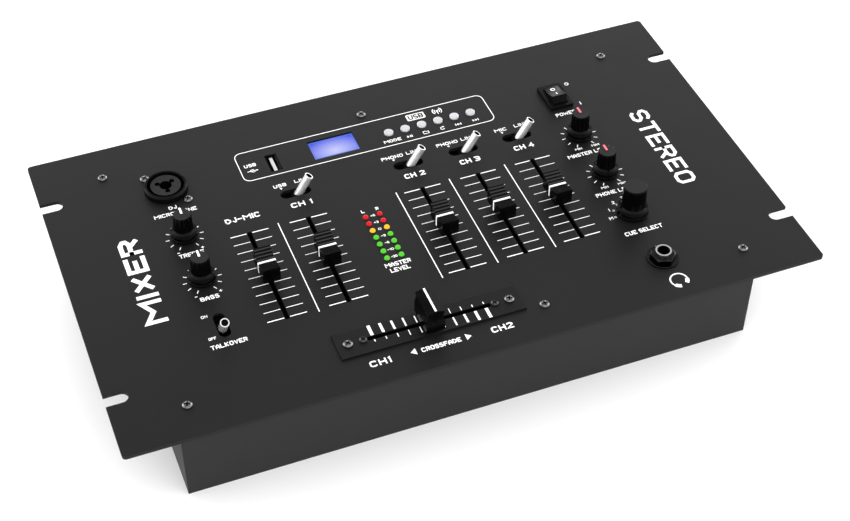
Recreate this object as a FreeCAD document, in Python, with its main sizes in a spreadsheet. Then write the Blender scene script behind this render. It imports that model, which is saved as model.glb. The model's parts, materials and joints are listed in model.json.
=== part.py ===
"""Rack-style DJ mixer: a parametric assembly of separate pieces.

Frame: millimetres, +X to the right, +Y to the rear, +Z up. The origin is under the middle of the
front panel, on the surface that the chassis stands on. Every size is read from the sheet "Dims".
"""
import FreeCAD, Part
import Sketcher
import math
import os
import re

Vector = FreeCAD.Vector
Rotation = FreeCAD.Rotation

DIMENSIONS = {
    # panel and chassis
    "panel_width": 360, "panel_depth": 209, "panel_thick": 2, "panel_corner": 2, "deck": 58,
    "body_width": 302, "body_front": 90, "body_rear": 88, "wall": 1.2,
    "top_flange": 9.5, "foot_flange": 9, "cover_recess": 2.4,
    # rack ears
    "ear_slot_width": 7, "ear_slot_reach": 11.5, "ear_slot_spacing": 138.6,
    # M3 pan head screws
    "screw_radius": 1.5, "screw_head": 2.4, "screw_rise": 1.25, "screw_length": 7, "screw_hole": 1.7,
    "screw_side": 144.5, "screw_rear": 81.8, "screw_front": 85.1, "screw_middle": 35.4,
    # channel columns, left to right
    "mic_x": -84.4, "ch1_x": -52.8, "ch2_x": 9.9, "ch3_x": 41.3, "ch4_x": 72.5,
    # faders
    "fader_y": -17.1, "fader_travel": 60, "fader_slot": 65, "fader_slot_width": 2.4,
    "fader_frame_length": 76, "fader_frame_width": 10.4, "fader_frame_height": 9,
    "fader_frame_wall": 1, "fader_stem_width": 1.2, "fader_stem_length": 3,
    "fader_block_length": 7, "fader_block_height": 4,
    "cap_length": 16.8, "cap_width": 9, "cap_gap": 2.5, "cap_height": 8.8, "cap_dip": 2.4,
    # crossfader
    "cross_x": -21.4, "cross_y": -76.6, "cross_plate_length": 95, "cross_plate_width": 16.6,
    "cross_plate_thick": 1, "cross_cap_width": 9.6, "cross_cap_height": 13.6,
    "cross_screw_outer": 41.7, "cross_screw_inner": 34, "fader_screw_radius": 1,
    # rotary controls
    "tone_x": -115.8, "level_x": 104.1, "knob_y": 23.6, "knob_pitch": 32.6,
    "knob_radius": 4.75, "knob_taper": 0.2, "knob_skirt": 7, "knob_top": 15.6,
    "knob_gap": 1, "knob_rim": 4.9, "skirt_wall": 0.65,
    "flute_radius": 1.1, "flute_away": 0.75,
    "cue_radius": 6.1, "cue_skirt": 8.3, "cue_top": 18.6,
    "shaft_radius": 3, "bushing_radius": 3.5, "bushing_rise": 4.6, "pot_nut_flats": 10,
    "pot_nut_flange": 5.8, "pot_nut_height": 2, "pot_size": 16, "pot_height": 8, "pot_turn": 150,
    # lever switches
    "toggle_y": 35.1, "talkover_x": -115.4, "talkover_y": -42, "toggle_slot": 16.5,
    "toggle_slot_width": 6, "lever_radius": 2.25, "lever_length": 14.9, "lever_tilt": 31,
    "lever_pivot": 3.6, "lever_barrel": 2.9,
    # microphone socket
    "mic_socket_x": -115.4, "mic_socket_y": 61.5, "mic_rise": 3.6, "mic_bezel": 11.3,
    "mic_groove": 9.7, "mic_insert": 7.95, "jack_radius": 3.25, "jack_depth": 26,
    "mic_screw_x": 8.6, "mic_screw_y": 11.5,
    # headphone socket
    "phones_x": 103.8, "phones_y": -76.5, "phones_bushing": 4.1, "phones_rise": 5.2,
    "phones_nut_flats": 11.6, "phones_nut_height": 2.3, "phones_nut_turn": 42,
    "phones_washer": 8.2, "phones_washer_thick": 0.9,
    # media player strip
    "player_y": 62.5, "usb_x": -56.7, "usb_y": 61.6, "usb_length": 13.1, "usb_width": 5.9,
    "usb_wall": 0.35, "display_x": -22.5, "display_y": 63.2, "display_length": 25.6,
    "display_width": 14.9, "button_x": 8.9, "button_pitch": 9.54, "button_radius": 2.55,
    "button_rise": 0.9, "button_travel": 0.6, "player_board_top": 48,
    # level meter
    "meter_x": -21.35, "meter_gap": 7.7, "meter_y": 4.2, "meter_pitch": 5.3,
    "led_radius": 1.5, "led_rise": 1.2,
    # power switch
    "switch_x": 105, "switch_y": 57.1, "switch_width": 13.3, "switch_length": 19.4,
    "switch_rim": 1.9, "rocker_y": 56.6, "rocker_pivot": 0.3, "rocker_width": 8.3,
    "rocker_length": 12.2, "rocker_rise": 4.4, "rocker_drop": 2, "rocker_dish": 34,
    "rocker_tilt": 16,
    # boards and transformer
    "board_length": 250, "board_width": 106, "board_x": -5, "board_y": -7,
    "post_flats": 5, "short_post_flats": 4.4,
    "core_x": 95, "core_y": 30, "core_length": 54, "core_width": 30, "core_height": 34,
    "core_limb": 8, "core_yoke": 7, "winding_width": 44, "foot_length": 74,
    # rear fittings
    "board_top": 44, "board_thick": 1.6, "gland_x": 122, "gland_z": 24, "ground_x": 76,
    "ground_z": 24, "rca_x": -118, "rca_pitch": 32, "rca_z": 30, "rca_spacing": 14,
    "rca_radius": 4.15, "rca_reach": 9.5, "rca_neck": 3.2, "rca_bore": 1.6,
    "gland_flats": 14, "gland_hex": 4, "gland_nose": 8, "gland_thread": 5, "gland_bore": 3.25,
    "vent_length": 44, "vent_width": 3, "vent_pitch": 9, "vent_middle": -60,
}

COLUMNS = {"mic": "mic_x", "ch1": "ch1_x", "ch2": "ch2_x", "ch3": "ch3_x", "ch4": "ch4_x"}
SWITCH_COLUMNS = {"ch1": "ch1_x", "ch2": "ch2_x", "ch3": "ch3_x", "ch4": "ch4_x"}
KNOBS = {
    "treble": ("tone_x", "knob_y"),
    "bass": ("tone_x", "knob_y - knob_pitch"),
    "master": ("level_x", "knob_y"),
    "phones": ("level_x", "knob_y - knob_pitch"),
    "cue": ("level_x", "knob_y - 2 * knob_pitch"),
}
BUTTONS = ("mode", "play", "folder", "repeat", "previous", "next")
METER_ROWS = 7
RCA_PAIRS = 6
FLUTES = 14
# middles of the parts under the main board and of the posts above both boards
CHIPS = ((-40, 12), (-40, -30), (30, -40), (60, -45))
CAPACITORS = ((-110, -40), (-96, -40), (-82, -40))
MAIN_POSTS = [(x, y) for x in (-124, -68, -6, 57, 90) for y in (-54, 40)]
PLAYER_POSTS = [(x, y) for x in (-47, 2.4) for y in (55, 70.5)]

doc = FreeCAD.newDocument("DjMixer")
sheet = doc.addObject("Spreadsheet::Sheet", "Dims")
nodes = []


def fill_sheet():
    """Write each driving dimension in column B, with its name beside it."""
    for row, (alias, size) in enumerate(DIMENSIONS.items(), start=1):
        sheet.set(f"A{row}", alias)
        sheet.set(f"B{row}", str(size))
        sheet.setAlias(f"B{row}", alias)
    doc.recompute()


def expression(text):
    """Point each dimension's name in a formula at its cell."""
    def cell(match):
        word = match.group()
        return f"Dims.{word}" if word in DIMENSIONS else word
    return re.sub(r"[a-z][a-z0-9_]*", cell, str(text))


def value(text):
    """The number that a formula gives now."""
    return float(sheet.evalExpression(expression(text)))


def bind(item, prop, text):
    item.setExpression(prop, expression(text))


def place(item, position):
    for letter, text in zip("xyz", position):
        bind(item, f"Placement.Base.{letter}", text)


def finish(item, label):
    """Give a sub-part the name of its node."""
    item.Label = label
    nodes.append(item)
    return item


AXIS_TURN = {
    "x": Rotation(Vector(0, 1, 0), 90),
    "y": Rotation(Vector(1, 0, 0), -90),
    "z": Rotation(),
}


def block(name, corner, size):
    """A box from its lowest corner."""
    solid = doc.addObject("Part::Box", name)
    for prop, text in zip(("Length", "Width", "Height"), size):
        bind(solid, prop, text)
    place(solid, corner)
    return solid


def centred_block(name, middle, size):
    """A box centred on middle in X and Y, standing on its Z."""
    x, y, z = middle
    return block(name, (f"{x} - ({size[0]}) / 2", f"{y} - ({size[1]}) / 2", z), size)


def rod(name, base, radius, length, axis="z"):
    solid = doc.addObject("Part::Cylinder", name)
    solid.Placement = FreeCAD.Placement(Vector(), AXIS_TURN[axis])
    bind(solid, "Radius", radius)
    bind(solid, "Height", length)
    place(solid, base)
    return solid


def hexagon(name, base, flats, length, axis="z"):
    solid = doc.addObject("Part::Prism", name)
    solid.Polygon = 6
    solid.Placement = FreeCAD.Placement(Vector(), AXIS_TURN[axis])
    bind(solid, "Circumradius", f"({flats}) / sqrt(3)")
    bind(solid, "Height", length)
    place(solid, base)
    return solid


def fuse(name, solids):
    joined = doc.addObject("Part::MultiFuse", name)
    joined.Shapes = solids
    return joined


def cut(name, base, tools):
    """Take tools away from base."""
    result = doc.addObject("Part::Cut", name)
    result.Base = base
    result.Tool = tools[0] if len(tools) == 1 else fuse(name + "_tools", tools)
    return result


def shared(name, base, tool):
    """The part of base that lies inside tool."""
    solid = doc.addObject("Part::Common", name)
    solid.Base = base
    solid.Tool = tool
    return solid


def slot_tool(name, middle, length, width, height, along="x"):
    """A slot with round ends, as a tool that starts at middle's Z."""
    x, y, z = middle
    straight = f"({length}) - ({width})"
    if along == "x":
        size = (straight, width, height)
        ends = [(f"{x} + {side} * ({straight}) / 2", y, z) for side in (-1, 1)]
    else:
        size = (width, straight, height)
        ends = [(x, f"{y} + {side} * ({straight}) / 2", z) for side in (-1, 1)]
    pieces = [centred_block(name + "_middle", middle, size)]
    pieces += [rod(f"{name}_end{i}", end, f"({width}) / 2", height) for i, end in enumerate(ends)]
    return fuse(name, pieces)


def plane_of(body, role):
    return next(item for item in body.Origin.OriginFeatures if item.Role == role)


def profile_sketch(body, name, role, points, lift=None):
    """A closed outline of straight lines. Each corner is held by its own dimensions.

    Corners have no negative coordinates; those at zero are held on the sketch's axes.
    """
    sketch = body.newObject("Sketcher::SketchObject", name)
    sketch.AttachmentSupport = [(plane_of(body, role), "")]
    sketch.MapMode = "FlatFace"
    if lift is not None:
        bind(sketch, "AttachmentOffset.Base.z", lift)
    corners = [Vector(value(across), value(up), 0) for across, up in points]
    count = len(corners)
    for index in range(count):
        sketch.addGeometry(Part.LineSegment(corners[index], corners[(index + 1) % count]))
    for index in range(count):
        sketch.addConstraint(Sketcher.Constraint("Coincident", index, 2, (index + 1) % count, 1))
    for index, pair in enumerate(points):
        for kind, axis, text in zip(("DistanceX", "DistanceY"), (-2, -1), pair):
            if str(text) == "0":
                sketch.addConstraint(Sketcher.Constraint("PointOnObject", index, 1, axis))
                continue
            size = value(text)
            added = sketch.addConstraint(Sketcher.Constraint(kind, -1, 1, index, 1, size))
            bind(sketch, f"Constraints[{added}]", text)
    return sketch


def revolved_body(name, profile):
    """A body turned about its own Z axis from (radius, height) corners."""
    body = doc.addObject("PartDesign::Body", name)
    sketch = profile_sketch(body, name + "_outline", "XZ_Plane", profile)
    turn = body.newObject("PartDesign::Revolution", name + "_turn")
    turn.Profile = sketch
    turn.ReferenceAxis = (sketch, ["V_Axis"])
    turn.Angle = 360
    doc.recompute()
    return body


def pocket(body, name, sketch, depth, upward=False):
    """Cut a sketch into a body, and make sure that it takes material away."""
    before = body.Shape.Volume
    hole = body.newObject("PartDesign::Pocket", name)
    hole.Profile = sketch
    bind(hole, "Length", depth)
    hole.Reversed = upward
    doc.recompute()
    if body.Shape.Volume > before - 1e-6:
        raise ValueError(f"{name} takes nothing away")
    return hole


def repeated(label, template, places):
    """Separate copies of one template solid, one at each placement."""
    group = doc.addObject("Part::Feature", label)
    copies = []
    for placement in places:
        piece = template.Shape.copy()
        piece.Placement = placement.multiply(template.Placement)
        copies.append(piece)
    group.Shape = Part.makeCompound(copies)
    return finish(group, label)


def at(x, y, z, axis=None, angle=0):
    """A placement from formulas, turned about an axis if one is given."""
    turn = Rotation(axis, angle) if axis else Rotation()
    return FreeCAD.Placement(Vector(value(x), value(y), value(z)), turn)


# ---- front panel and chassis ------------------------------------------------------------------

PANEL_SCREWS = [
    ("-screw_side", "screw_rear"), ("0", "screw_rear"), ("screw_side", "screw_rear"),
    ("-screw_side", "-screw_front"), ("screw_middle", "-screw_front"), ("screw_side", "-screw_front"),
]
MIC_SCREWS = [
    ("mic_socket_x - mic_screw_x", "mic_socket_y + mic_screw_y"),
    ("mic_socket_x + mic_screw_x", "mic_socket_y - mic_screw_y"),
]
PLATE_SCREWS = [
    ("cross_x - cross_screw_outer", "cross_y"),
    ("cross_x + cross_screw_outer", "cross_y"),
]
COVER_SCREWS = [(f"{x} * (body_width / 2 - 5)", y) for x in (-1, 1)
                for y in ("5 - body_front", "0", "body_rear - 5")]


def ear_slots():
    """The open slots in the two ears."""
    tools = []
    for index, (side, row) in enumerate([(-1, -1), (-1, 1), (1, -1), (1, 1)]):
        reach = "ear_slot_reach + ear_slot_width"
        middle = (f"{side} * (panel_width / 2 + ear_slot_width / 2 - ear_slot_reach / 2)",
                  f"{row} * ear_slot_spacing / 2", "deck - panel_thick")
        tools.append(slot_tool(f"ear_slot{index}", middle, reach, "ear_slot_width", "panel_thick"))
    return tools


def front_panel():
    """The steel plate that every control is fixed in, with ears at both sides."""
    under = "deck - panel_thick"
    plate = doc.addObject("Part::Fillet", "rounded_plate")
    blank = centred_block("plate_blank", ("0", "0", under),
                          ("panel_width", "panel_depth", "panel_thick"))
    doc.recompute()
    plate.Base = blank
    upright = [i + 1 for i, edge in enumerate(blank.Shape.Edges)
               if abs(edge.BoundBox.ZLength - value("panel_thick")) < 1e-6]
    corner = value("panel_corner")
    plate.Edges = [(i, corner, corner) for i in upright]

    tools = ear_slots()
    for i, (x, y) in enumerate(PANEL_SCREWS + MIC_SCREWS + PLATE_SCREWS):
        tools.append(rod(f"panel_screw_hole{i}", (x, y, under), "screw_hole", "panel_thick"))
    for name, x in COLUMNS.items():
        tools.append(slot_tool(f"{name}_fader_slot", (x, "fader_y", under), "fader_slot",
                               "fader_slot_width", "panel_thick", "y"))
    for name, x in SWITCH_COLUMNS.items():
        tools.append(slot_tool(f"{name}_lever_slot", (x, "toggle_y", under), "toggle_slot",
                               "toggle_slot_width", "panel_thick"))
    tools.append(slot_tool("talkover_lever_slot", ("talkover_x", "talkover_y", under),
                           "toggle_slot", "toggle_slot_width", "panel_thick", "y"))
    for name, (x, y) in KNOBS.items():
        tools.append(rod(f"{name}_hole", (x, y, under), "bushing_radius + 0.1", "panel_thick"))
    tools.append(centred_block("crossfader_opening", ("cross_x", "cross_y", under),
                               ("fader_frame_length + 1", "fader_frame_width + 0.6",
                                "panel_thick")))
    tools.append(rod("mic_socket_hole", ("mic_socket_x", "mic_socket_y", under),
                     "mic_bezel + 0.15", "panel_thick"))
    tools.append(rod("phones_hole", ("phones_x", "phones_y", under), "phones_bushing + 0.1",
                     "panel_thick"))
    tools.append(centred_block("usb_opening", ("usb_x", "usb_y", under),
                               ("usb_width + 0.5", "usb_length + 0.5", "panel_thick")))
    tools.append(centred_block("display_opening", ("display_x", "display_y", under),
                               ("display_length", "display_width", "panel_thick")))
    for i in range(len(BUTTONS)):
        tools.append(rod(f"button_hole{i}", (f"button_x + {i} * button_pitch", "player_y", under),
                         "button_radius + 0.5", "panel_thick"))
    for i in range(METER_ROWS):
        for side in (-1, 1):
            tools.append(rod(f"led_hole{i}_{side + 1}",
                             (f"meter_x + {side} * meter_gap / 2",
                              f"meter_y - {i} * meter_pitch", under),
                             "led_radius + 0.1", "panel_thick"))
    tools.append(centred_block("switch_opening", ("switch_x", "switch_y", under),
                               ("switch_width - 1.6", "switch_length - 1.6", "panel_thick")))
    finish(cut("panel_cut", plate, tools), "front_panel")


def frame_tool(name, bottom, height, inset):
    """The space inside a rectangular frame whose rim is inset from the chassis outline."""
    return block(name,
                 (f"{inset} - body_width / 2", f"{inset} - body_front", bottom),
                 (f"body_width - 2 * ({inset})", f"body_front + body_rear - 2 * ({inset})", height))


def rca_places():
    """Middle of each socket barrel on the rear wall."""
    return [(f"rca_x + {pair} * rca_pitch", f"rca_z + {row} * rca_spacing / 2")
            for pair in range(RCA_PAIRS) for row in (-1, 1)]


def chassis_tub():
    """Four folded walls with a rim for the panel on top and one for the cover below."""
    height = "deck - panel_thick"
    shell = block("walls", ("-body_width / 2", "-body_front", "0"),
                  ("body_width", "body_front + body_rear", height))
    lower = "cover_recess + wall"
    tools = [
        frame_tool("room", f"{lower} + wall", f"{height} - wall - ({lower} + wall)", "wall"),
        frame_tool("cover_room", "0", lower, "wall"),
        frame_tool("foot_room", lower, "wall", "foot_flange"),
        frame_tool("top_room", f"{height} - wall", "wall", "top_flange"),
        centred_block("crossfader_notch", ("cross_x", "cross_y", f"{height} - wall"),
                      ("fader_frame_length + 2", "fader_frame_width + 2", "wall")),
        centred_block("phones_notch", ("phones_x", "phones_y", f"{height} - wall"),
                      ("19", "17", "wall")),
    ]
    for i, (x, y) in enumerate(PANEL_SCREWS):
        tools.append(rod(f"rim_screw_hole{i}", (x, y, f"{height} - wall"), "screw_radius", "wall"))
    for i, (x, y) in enumerate(COVER_SCREWS):
        tools.append(rod(f"foot_screw_hole{i}", (x, y, lower), "screw_radius", "wall"))
    for i, (x, z) in enumerate(rca_places()):
        tools.append(rod(f"rca_hole{i}", (x, "body_rear - wall", z), "rca_radius + 0.25", "wall",
                         "y"))
    tools.append(rod("gland_hole", ("gland_x", "body_rear - wall", "gland_z"), "5.1", "wall", "y"))
    tools.append(rod("ground_hole", ("ground_x", "body_rear - wall", "ground_z"), "2.1", "wall",
                     "y"))
    whole = cut("tub_cut", shell, tools)
    walls = doc.addObject("Part::Compound", "tub_walls")
    walls.Links = [shared(f"tub_{side}", whole, zone) for side, zone in tub_zones().items()]
    finish(walls, "chassis_tub")


def tub_zones():
    """Where each wall ends: the side walls, with the flange corners, fit between the long ones."""
    zones = {}
    for side, start, outer in (("front", "-body_front", "-body_front"),
                               ("rear", "0", "body_rear - wall")):
        reach = "body_front" if side == "front" else "body_rear"
        plate = block(f"{side}_plate_zone", ("-body_width / 2", outer, "0"),
                      ("body_width", "wall", "deck"))
        rims = block(f"{side}_rim_zone", ("top_flange - body_width / 2", start, "0"),
                     ("body_width - 2 * top_flange", reach, "deck"))
        zones[side] = fuse(f"{side}_zone", [plate, rims])
    for side, start in (("left", "-body_width / 2"), ("right", "body_width / 2 - top_flange")):
        zones[side] = block(f"{side}_zone", (start, "wall - body_front", "0"),
                            ("top_flange", "body_front + body_rear - 2 * wall", "deck"))
    return zones


def bottom_cover():
    """The flat cover, set into the walls so that its screw heads stay off the table."""
    gap = "wall + 0.3"
    plate = frame_tool("cover_blank", "cover_recess", "wall", gap)
    tools = [rod(f"cover_screw_hole{i}", (x, y, "cover_recess"), "screw_hole", "wall")
             for i, (x, y) in enumerate(COVER_SCREWS)]
    for i in range(9):
        middle = (f"{i - 4} * vent_pitch + vent_middle", "0", "cover_recess")
        tools.append(slot_tool(f"vent{i}", middle, "vent_length", "vent_width", "wall", "y"))
    finish(cut("cover_cut", plate, tools), "bottom_cover")


def m3_screws():
    """Pan head screws with a cross recess: panel, microphone socket, fader plate and cover."""
    profile = [("0", "0"), ("screw_radius", "0"), ("screw_radius", "screw_length"),
               ("screw_head", "screw_length"), ("screw_head", "screw_length + screw_rise * 0.45"),
               ("screw_head * 0.7", "screw_length + screw_rise * 0.9"),
               ("screw_head * 0.3", "screw_length + screw_rise"),
               ("0", "screw_length + screw_rise")]
    blank = revolved_body("screw_blank", profile)
    depth = "screw_rise * 0.7"
    level = f"screw_length + screw_rise - {depth}"
    arms = [centred_block("recess_a", ("0", "0", level), ("screw_head * 1.2", "0.75", depth)),
            centred_block("recess_b", ("0", "0", level), ("0.75", "screw_head * 1.2", depth))]
    template = cut("screw_template", blank, arms)
    doc.recompute()
    down = Vector(1, 0, 0)
    places = [at(x, y, "deck - screw_length", Vector(0, 0, 1), 23 * i)
              for i, (x, y) in enumerate(PANEL_SCREWS + MIC_SCREWS)]
    places += [at(x, y, "deck + cross_plate_thick - screw_length", Vector(0, 0, 1), 40 + 31 * i)
               for i, (x, y) in enumerate(PLATE_SCREWS)]
    places += [at(x, y, "cover_recess + screw_length", down, 180) for x, y in COVER_SCREWS]
    repeated("m3_screws", template, places)


# ---- faders -----------------------------------------------------------------------------------

def crossfader_plate():
    """The small plate that carries the crossfader, screwed on top of the panel."""
    plate = centred_block("plate", ("cross_x", "cross_y", "deck"),
                          ("cross_plate_length", "cross_plate_width", "cross_plate_thick"))
    tools = [slot_tool("cross_slot", ("cross_x", "cross_y", "deck"), "fader_slot - 1",
                       "fader_slot_width", "cross_plate_thick")]
    for i, (x, y) in enumerate(PLATE_SCREWS):
        tools.append(rod(f"plate_hole{i}", (x, y, "deck"), "screw_hole", "cross_plate_thick"))
    for side in (-1, 1):
        tools.append(rod(f"plate_inner_hole{side + 1}",
                         (f"cross_x + {side} * cross_screw_inner", "cross_y", "deck"),
                         "fader_screw_radius + 0.1", "cross_plate_thick"))
    finish(cut("cross_plate_cut", plate, tools), "crossfader_plate")


def fader_frames():
    """The folded steel frame of each fader, with a rail space inside and a slot on top."""
    wall = "fader_frame_wall"
    outer = centred_block("fader_outer", ("0", "0", "0"),
                          ("fader_frame_width", "fader_frame_length", "fader_frame_height"))
    room = centred_block("fader_room", ("0", "0", wall),
                         (f"fader_frame_width - 2 * {wall}", "fader_travel + 9",
                          f"fader_frame_height - 2 * {wall}"))
    opening = centred_block("fader_opening", ("0", "0", f"fader_frame_height - {wall}"),
                            ("4", "fader_travel + 6.5", wall))
    holes = [rod(f"fader_thread{side + 1}", ("0", f"{side} * cross_screw_inner",
                                            "fader_frame_height - 3"),
                 "fader_screw_radius", "3") for side in (-1, 1)]
    legs = [centred_block(f"fader_leg{i}", (f"{x} * 3", f"{y} * 34", "-2"), ("1", "2", "2"))
            for i, (x, y) in enumerate([(-1, -1), (1, -1), (-1, 1), (1, 1)])]
    template = fuse("fader_template", [cut("fader_hollow", outer, [room, opening] + holes)] + legs)
    doc.recompute()
    places = [at(x, "fader_y", "board_top + 2") for x in COLUMNS.values()]
    places.append(at("cross_x", "cross_y", "deck - fader_frame_height", Vector(0, 0, 1), 90))
    repeated("fader_frames", template, places)


def fader_screws():
    """The two small screws that hold the crossfader under its plate."""
    profile = [("0", "0"), ("fader_screw_radius", "0"), ("fader_screw_radius", "3"),
               ("1.9", "3"), ("1.9", "3.5"), ("1.2", "4"), ("0", "4")]
    blank = revolved_body("fader_screw_blank", profile)
    arms = [centred_block("fader_recess_a", ("0", "0", "3.2"), ("2.2", "0.5", "0.8")),
            centred_block("fader_recess_b", ("0", "0", "3.2"), ("0.5", "2.2", "0.8"))]
    template = cut("fader_screw_template", blank, arms)
    doc.recompute()
    places = [at(f"cross_x + {side} * cross_screw_inner", "cross_y",
                 "deck + cross_plate_thick - 3", Vector(0, 0, 1), 20) for side in (-1, 1)]
    repeated("fader_screws", template, places)


def carriage(name, x, y, base, across, along, stem_top):
    """A slider block that runs inside its frame, with the blade that carries the cap."""
    floor = f"{base} + fader_frame_wall + 0.4"
    wide = "fader_frame_width - 2 * fader_frame_wall - 0.8"
    runner = centred_block(name + "_block", (x, y, floor),
                           (wide if across == "x" else "fader_block_length",
                            "fader_block_length" if across == "x" else wide,
                            "fader_block_height"))
    blade = {along: "fader_stem_length", across: "fader_stem_width"}
    stem = centred_block(name + "_stem", (x, y, f"{floor} + fader_block_height"),
                         (blade["x"], blade["y"],
                          f"{stem_top} - ({floor} + fader_block_height)"))
    finish(fuse(name + "_solid", [runner, stem]), name)


def fader_cap(label, x):
    """A grip with a dished, ridged top whose lowest line is the pointer."""
    half = "cap_length / 2"
    low = "cap_height - cap_dip"
    outline = [("0", "0"), ("cap_length", "0"), ("cap_length", "cap_height")]
    steps = 4
    for i in range(steps, 0, -1):
        reach = f"({half} - 1) * {i} / {steps}"
        rise = f"{low} + cap_dip * {i} / {steps}"
        outline.append((f"{half} + {reach}", rise))
        outline.append((f"{half} + {reach} - 0.5", f"{rise} - cap_dip / {steps}"))
    for i in range(1, steps + 1):
        reach = f"({half} - 1) * {i} / {steps}"
        rise = f"{low} + cap_dip * {i} / {steps}"
        outline.append((f"{half} - {reach} + 0.5", f"{rise} - cap_dip / {steps}"))
        outline.append((f"{half} - {reach}", rise))
    outline.append(("0", "cap_height"))
    body = doc.addObject("PartDesign::Body", label + "_body")
    sketch = profile_sketch(body, label + "_outline", "YZ_Plane", outline)
    pad = body.newObject("PartDesign::Pad", label + "_pad")
    pad.Profile = sketch
    bind(pad, "Length", "cap_width")
    pad.Midplane = True
    doc.recompute()
    blind_socket(body, label, f"{half} - fader_stem_length / 2", "fader_stem_length",
                 "fader_stem_width", "4")
    place(body, (x, f"fader_y - {half}", "deck + cap_gap"))
    finish(body, label)


def blind_socket(body, label, start, length, width, depth):
    """The rectangular hole under a cap that takes the fader's blade."""
    sketch = body.newObject("Sketcher::SketchObject", label + "_socket")
    sketch.AttachmentSupport = [(plane_of(body, "XY_Plane"), "")]
    sketch.MapMode = "FlatFace"
    low, high, reach = value(start), value(start) + value(length), value(width) / 2
    corners = [Vector(-reach, low, 0), Vector(reach, low, 0), Vector(reach, high, 0),
               Vector(-reach, high, 0)]
    for i in range(4):
        sketch.addGeometry(Part.LineSegment(corners[i], corners[(i + 1) % 4]))
    for i in range(4):
        sketch.addConstraint(Sketcher.Constraint("Coincident", i, 2, (i + 1) % 4, 1))
        if i > 0:
            sketch.addConstraint(Sketcher.Constraint("Vertical" if i % 2 else "Horizontal", i))
    sketch.addConstraint(Sketcher.Constraint("Symmetric", 0, 1, 0, 2, -2))
    for kind, line, text in (("DistanceX", 0, width), ("DistanceY", 1, length)):
        added = sketch.addConstraint(Sketcher.Constraint(kind, line, 1, line, 2, value(text)))
        bind(sketch, f"Constraints[{added}]", text)
    added = sketch.addConstraint(Sketcher.Constraint("DistanceY", -1, 1, 0, 1, low))
    bind(sketch, f"Constraints[{added}]", start)
    pocket(body, label + "_socket_cut", sketch, depth, upward=True)


def crossfader_cap():
    """A tall grip with flared flanks and a low ridge along the top."""
    label = "crossfader_cap"
    half = "cross_cap_width / 2"
    tall = "cross_cap_height"
    outline = [("0", "0"), ("cross_cap_width", "0"), ("cross_cap_width", f"{tall} * 0.45"),
               ("cross_cap_width - 0.9", f"{tall} * 0.72"), ("cross_cap_width - 0.3", f"{tall} - 1"),
               (f"{half} + 0.8", tall), (f"{half} - 0.8", tall), ("0.3", f"{tall} - 1"),
               ("0.9", f"{tall} * 0.72"), ("0", f"{tall} * 0.45")]
    body = doc.addObject("PartDesign::Body", label + "_body")
    sketch = profile_sketch(body, label + "_outline", "YZ_Plane", outline)
    pad = body.newObject("PartDesign::Pad", label + "_pad")
    pad.Profile = sketch
    bind(pad, "Length", "cap_length")
    pad.Midplane = True
    doc.recompute()
    blind_socket(body, label, f"{half} - fader_stem_length / 2", "fader_stem_length",
                 "fader_stem_width", "6")
    body.Placement = FreeCAD.Placement(Vector(), Rotation(Vector(0, 0, 1), -90))
    place(body, (f"cross_x - {half}", "cross_y", "deck + cross_plate_thick + 1.5"))
    finish(body, label)


def faders():
    fader_frames()
    for name, x in COLUMNS.items():
        fader_cap(f"{name}_fader_cap", x)
        carriage(f"{name}_fader_carriage", x, "fader_y", "board_top + 2", "x", "y",
                 "deck + cap_gap + 4")
    crossfader_cap()
    carriage("crossfader_carriage", "cross_x", "cross_y", "deck - fader_frame_height", "y", "x",
             "deck + cross_plate_thick + 1.5 + 6")
    crossfader_plate()
    fader_screws()


# ---- rotary controls --------------------------------------------------------------------------

def knob(label, x, y, radius, skirt, top, fluted=True):
    """A grip, fluted or plain, over a flared skirt, bored from below for the D-shaped shaft."""
    low = "knob_gap"
    rim = "knob_rim"
    profile = [("0", low), (f"{skirt} - 0.25", low), (skirt, f"{low} + 0.25"),
               (skirt, f"{low} + 1.1"), (f"{skirt} - 0.2", f"{low} + 1.3"),
               (f"{skirt} - 0.2", f"{rim} - 0.4"), (f"{skirt} - 0.6", rim),
               (f"{skirt} - 0.9", rim), (f"{radius} + 1", f"{rim} + 0.4"),
               (f"{radius} + knob_taper", f"{rim} + 1.5"), (radius, f"{top} - 0.5"),
               (f"{radius} - 0.5", top), ("0", top)]
    body = revolved_body(label + "_body", profile)
    if fluted:
        add_flutes(body, label, radius, top)
    doc.recompute()
    shaft_top = f"{top} - 3"
    shaft = rod(label + "_shaft_bore", ("0", "0", low), "shaft_radius", f"{shaft_top} - {low}")
    flat = block(label + "_bore_flat", ("-4", "1.5", f"{low} + 4"),
                 ("8", "4", f"{shaft_top} - {low} - 4"))
    bore = cut(label + "_bore", shaft, [flat])
    cup = rod(label + "_nut_room", ("0", "0", low), f"{skirt} - skirt_wall",
              f"pot_nut_height + 1 - {low}")
    room = rod(label + "_bushing_room", ("0", "0", low), "bushing_radius + 0.6",
               f"bushing_rise - {low} + 0.4")
    finished = cut(label + "_cut", body, [bore, cup, room])
    place(finished, (x, y, "deck"))
    finish(finished, label + "_knob")
    shaft_piece(label, x, y, shaft_top)


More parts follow.
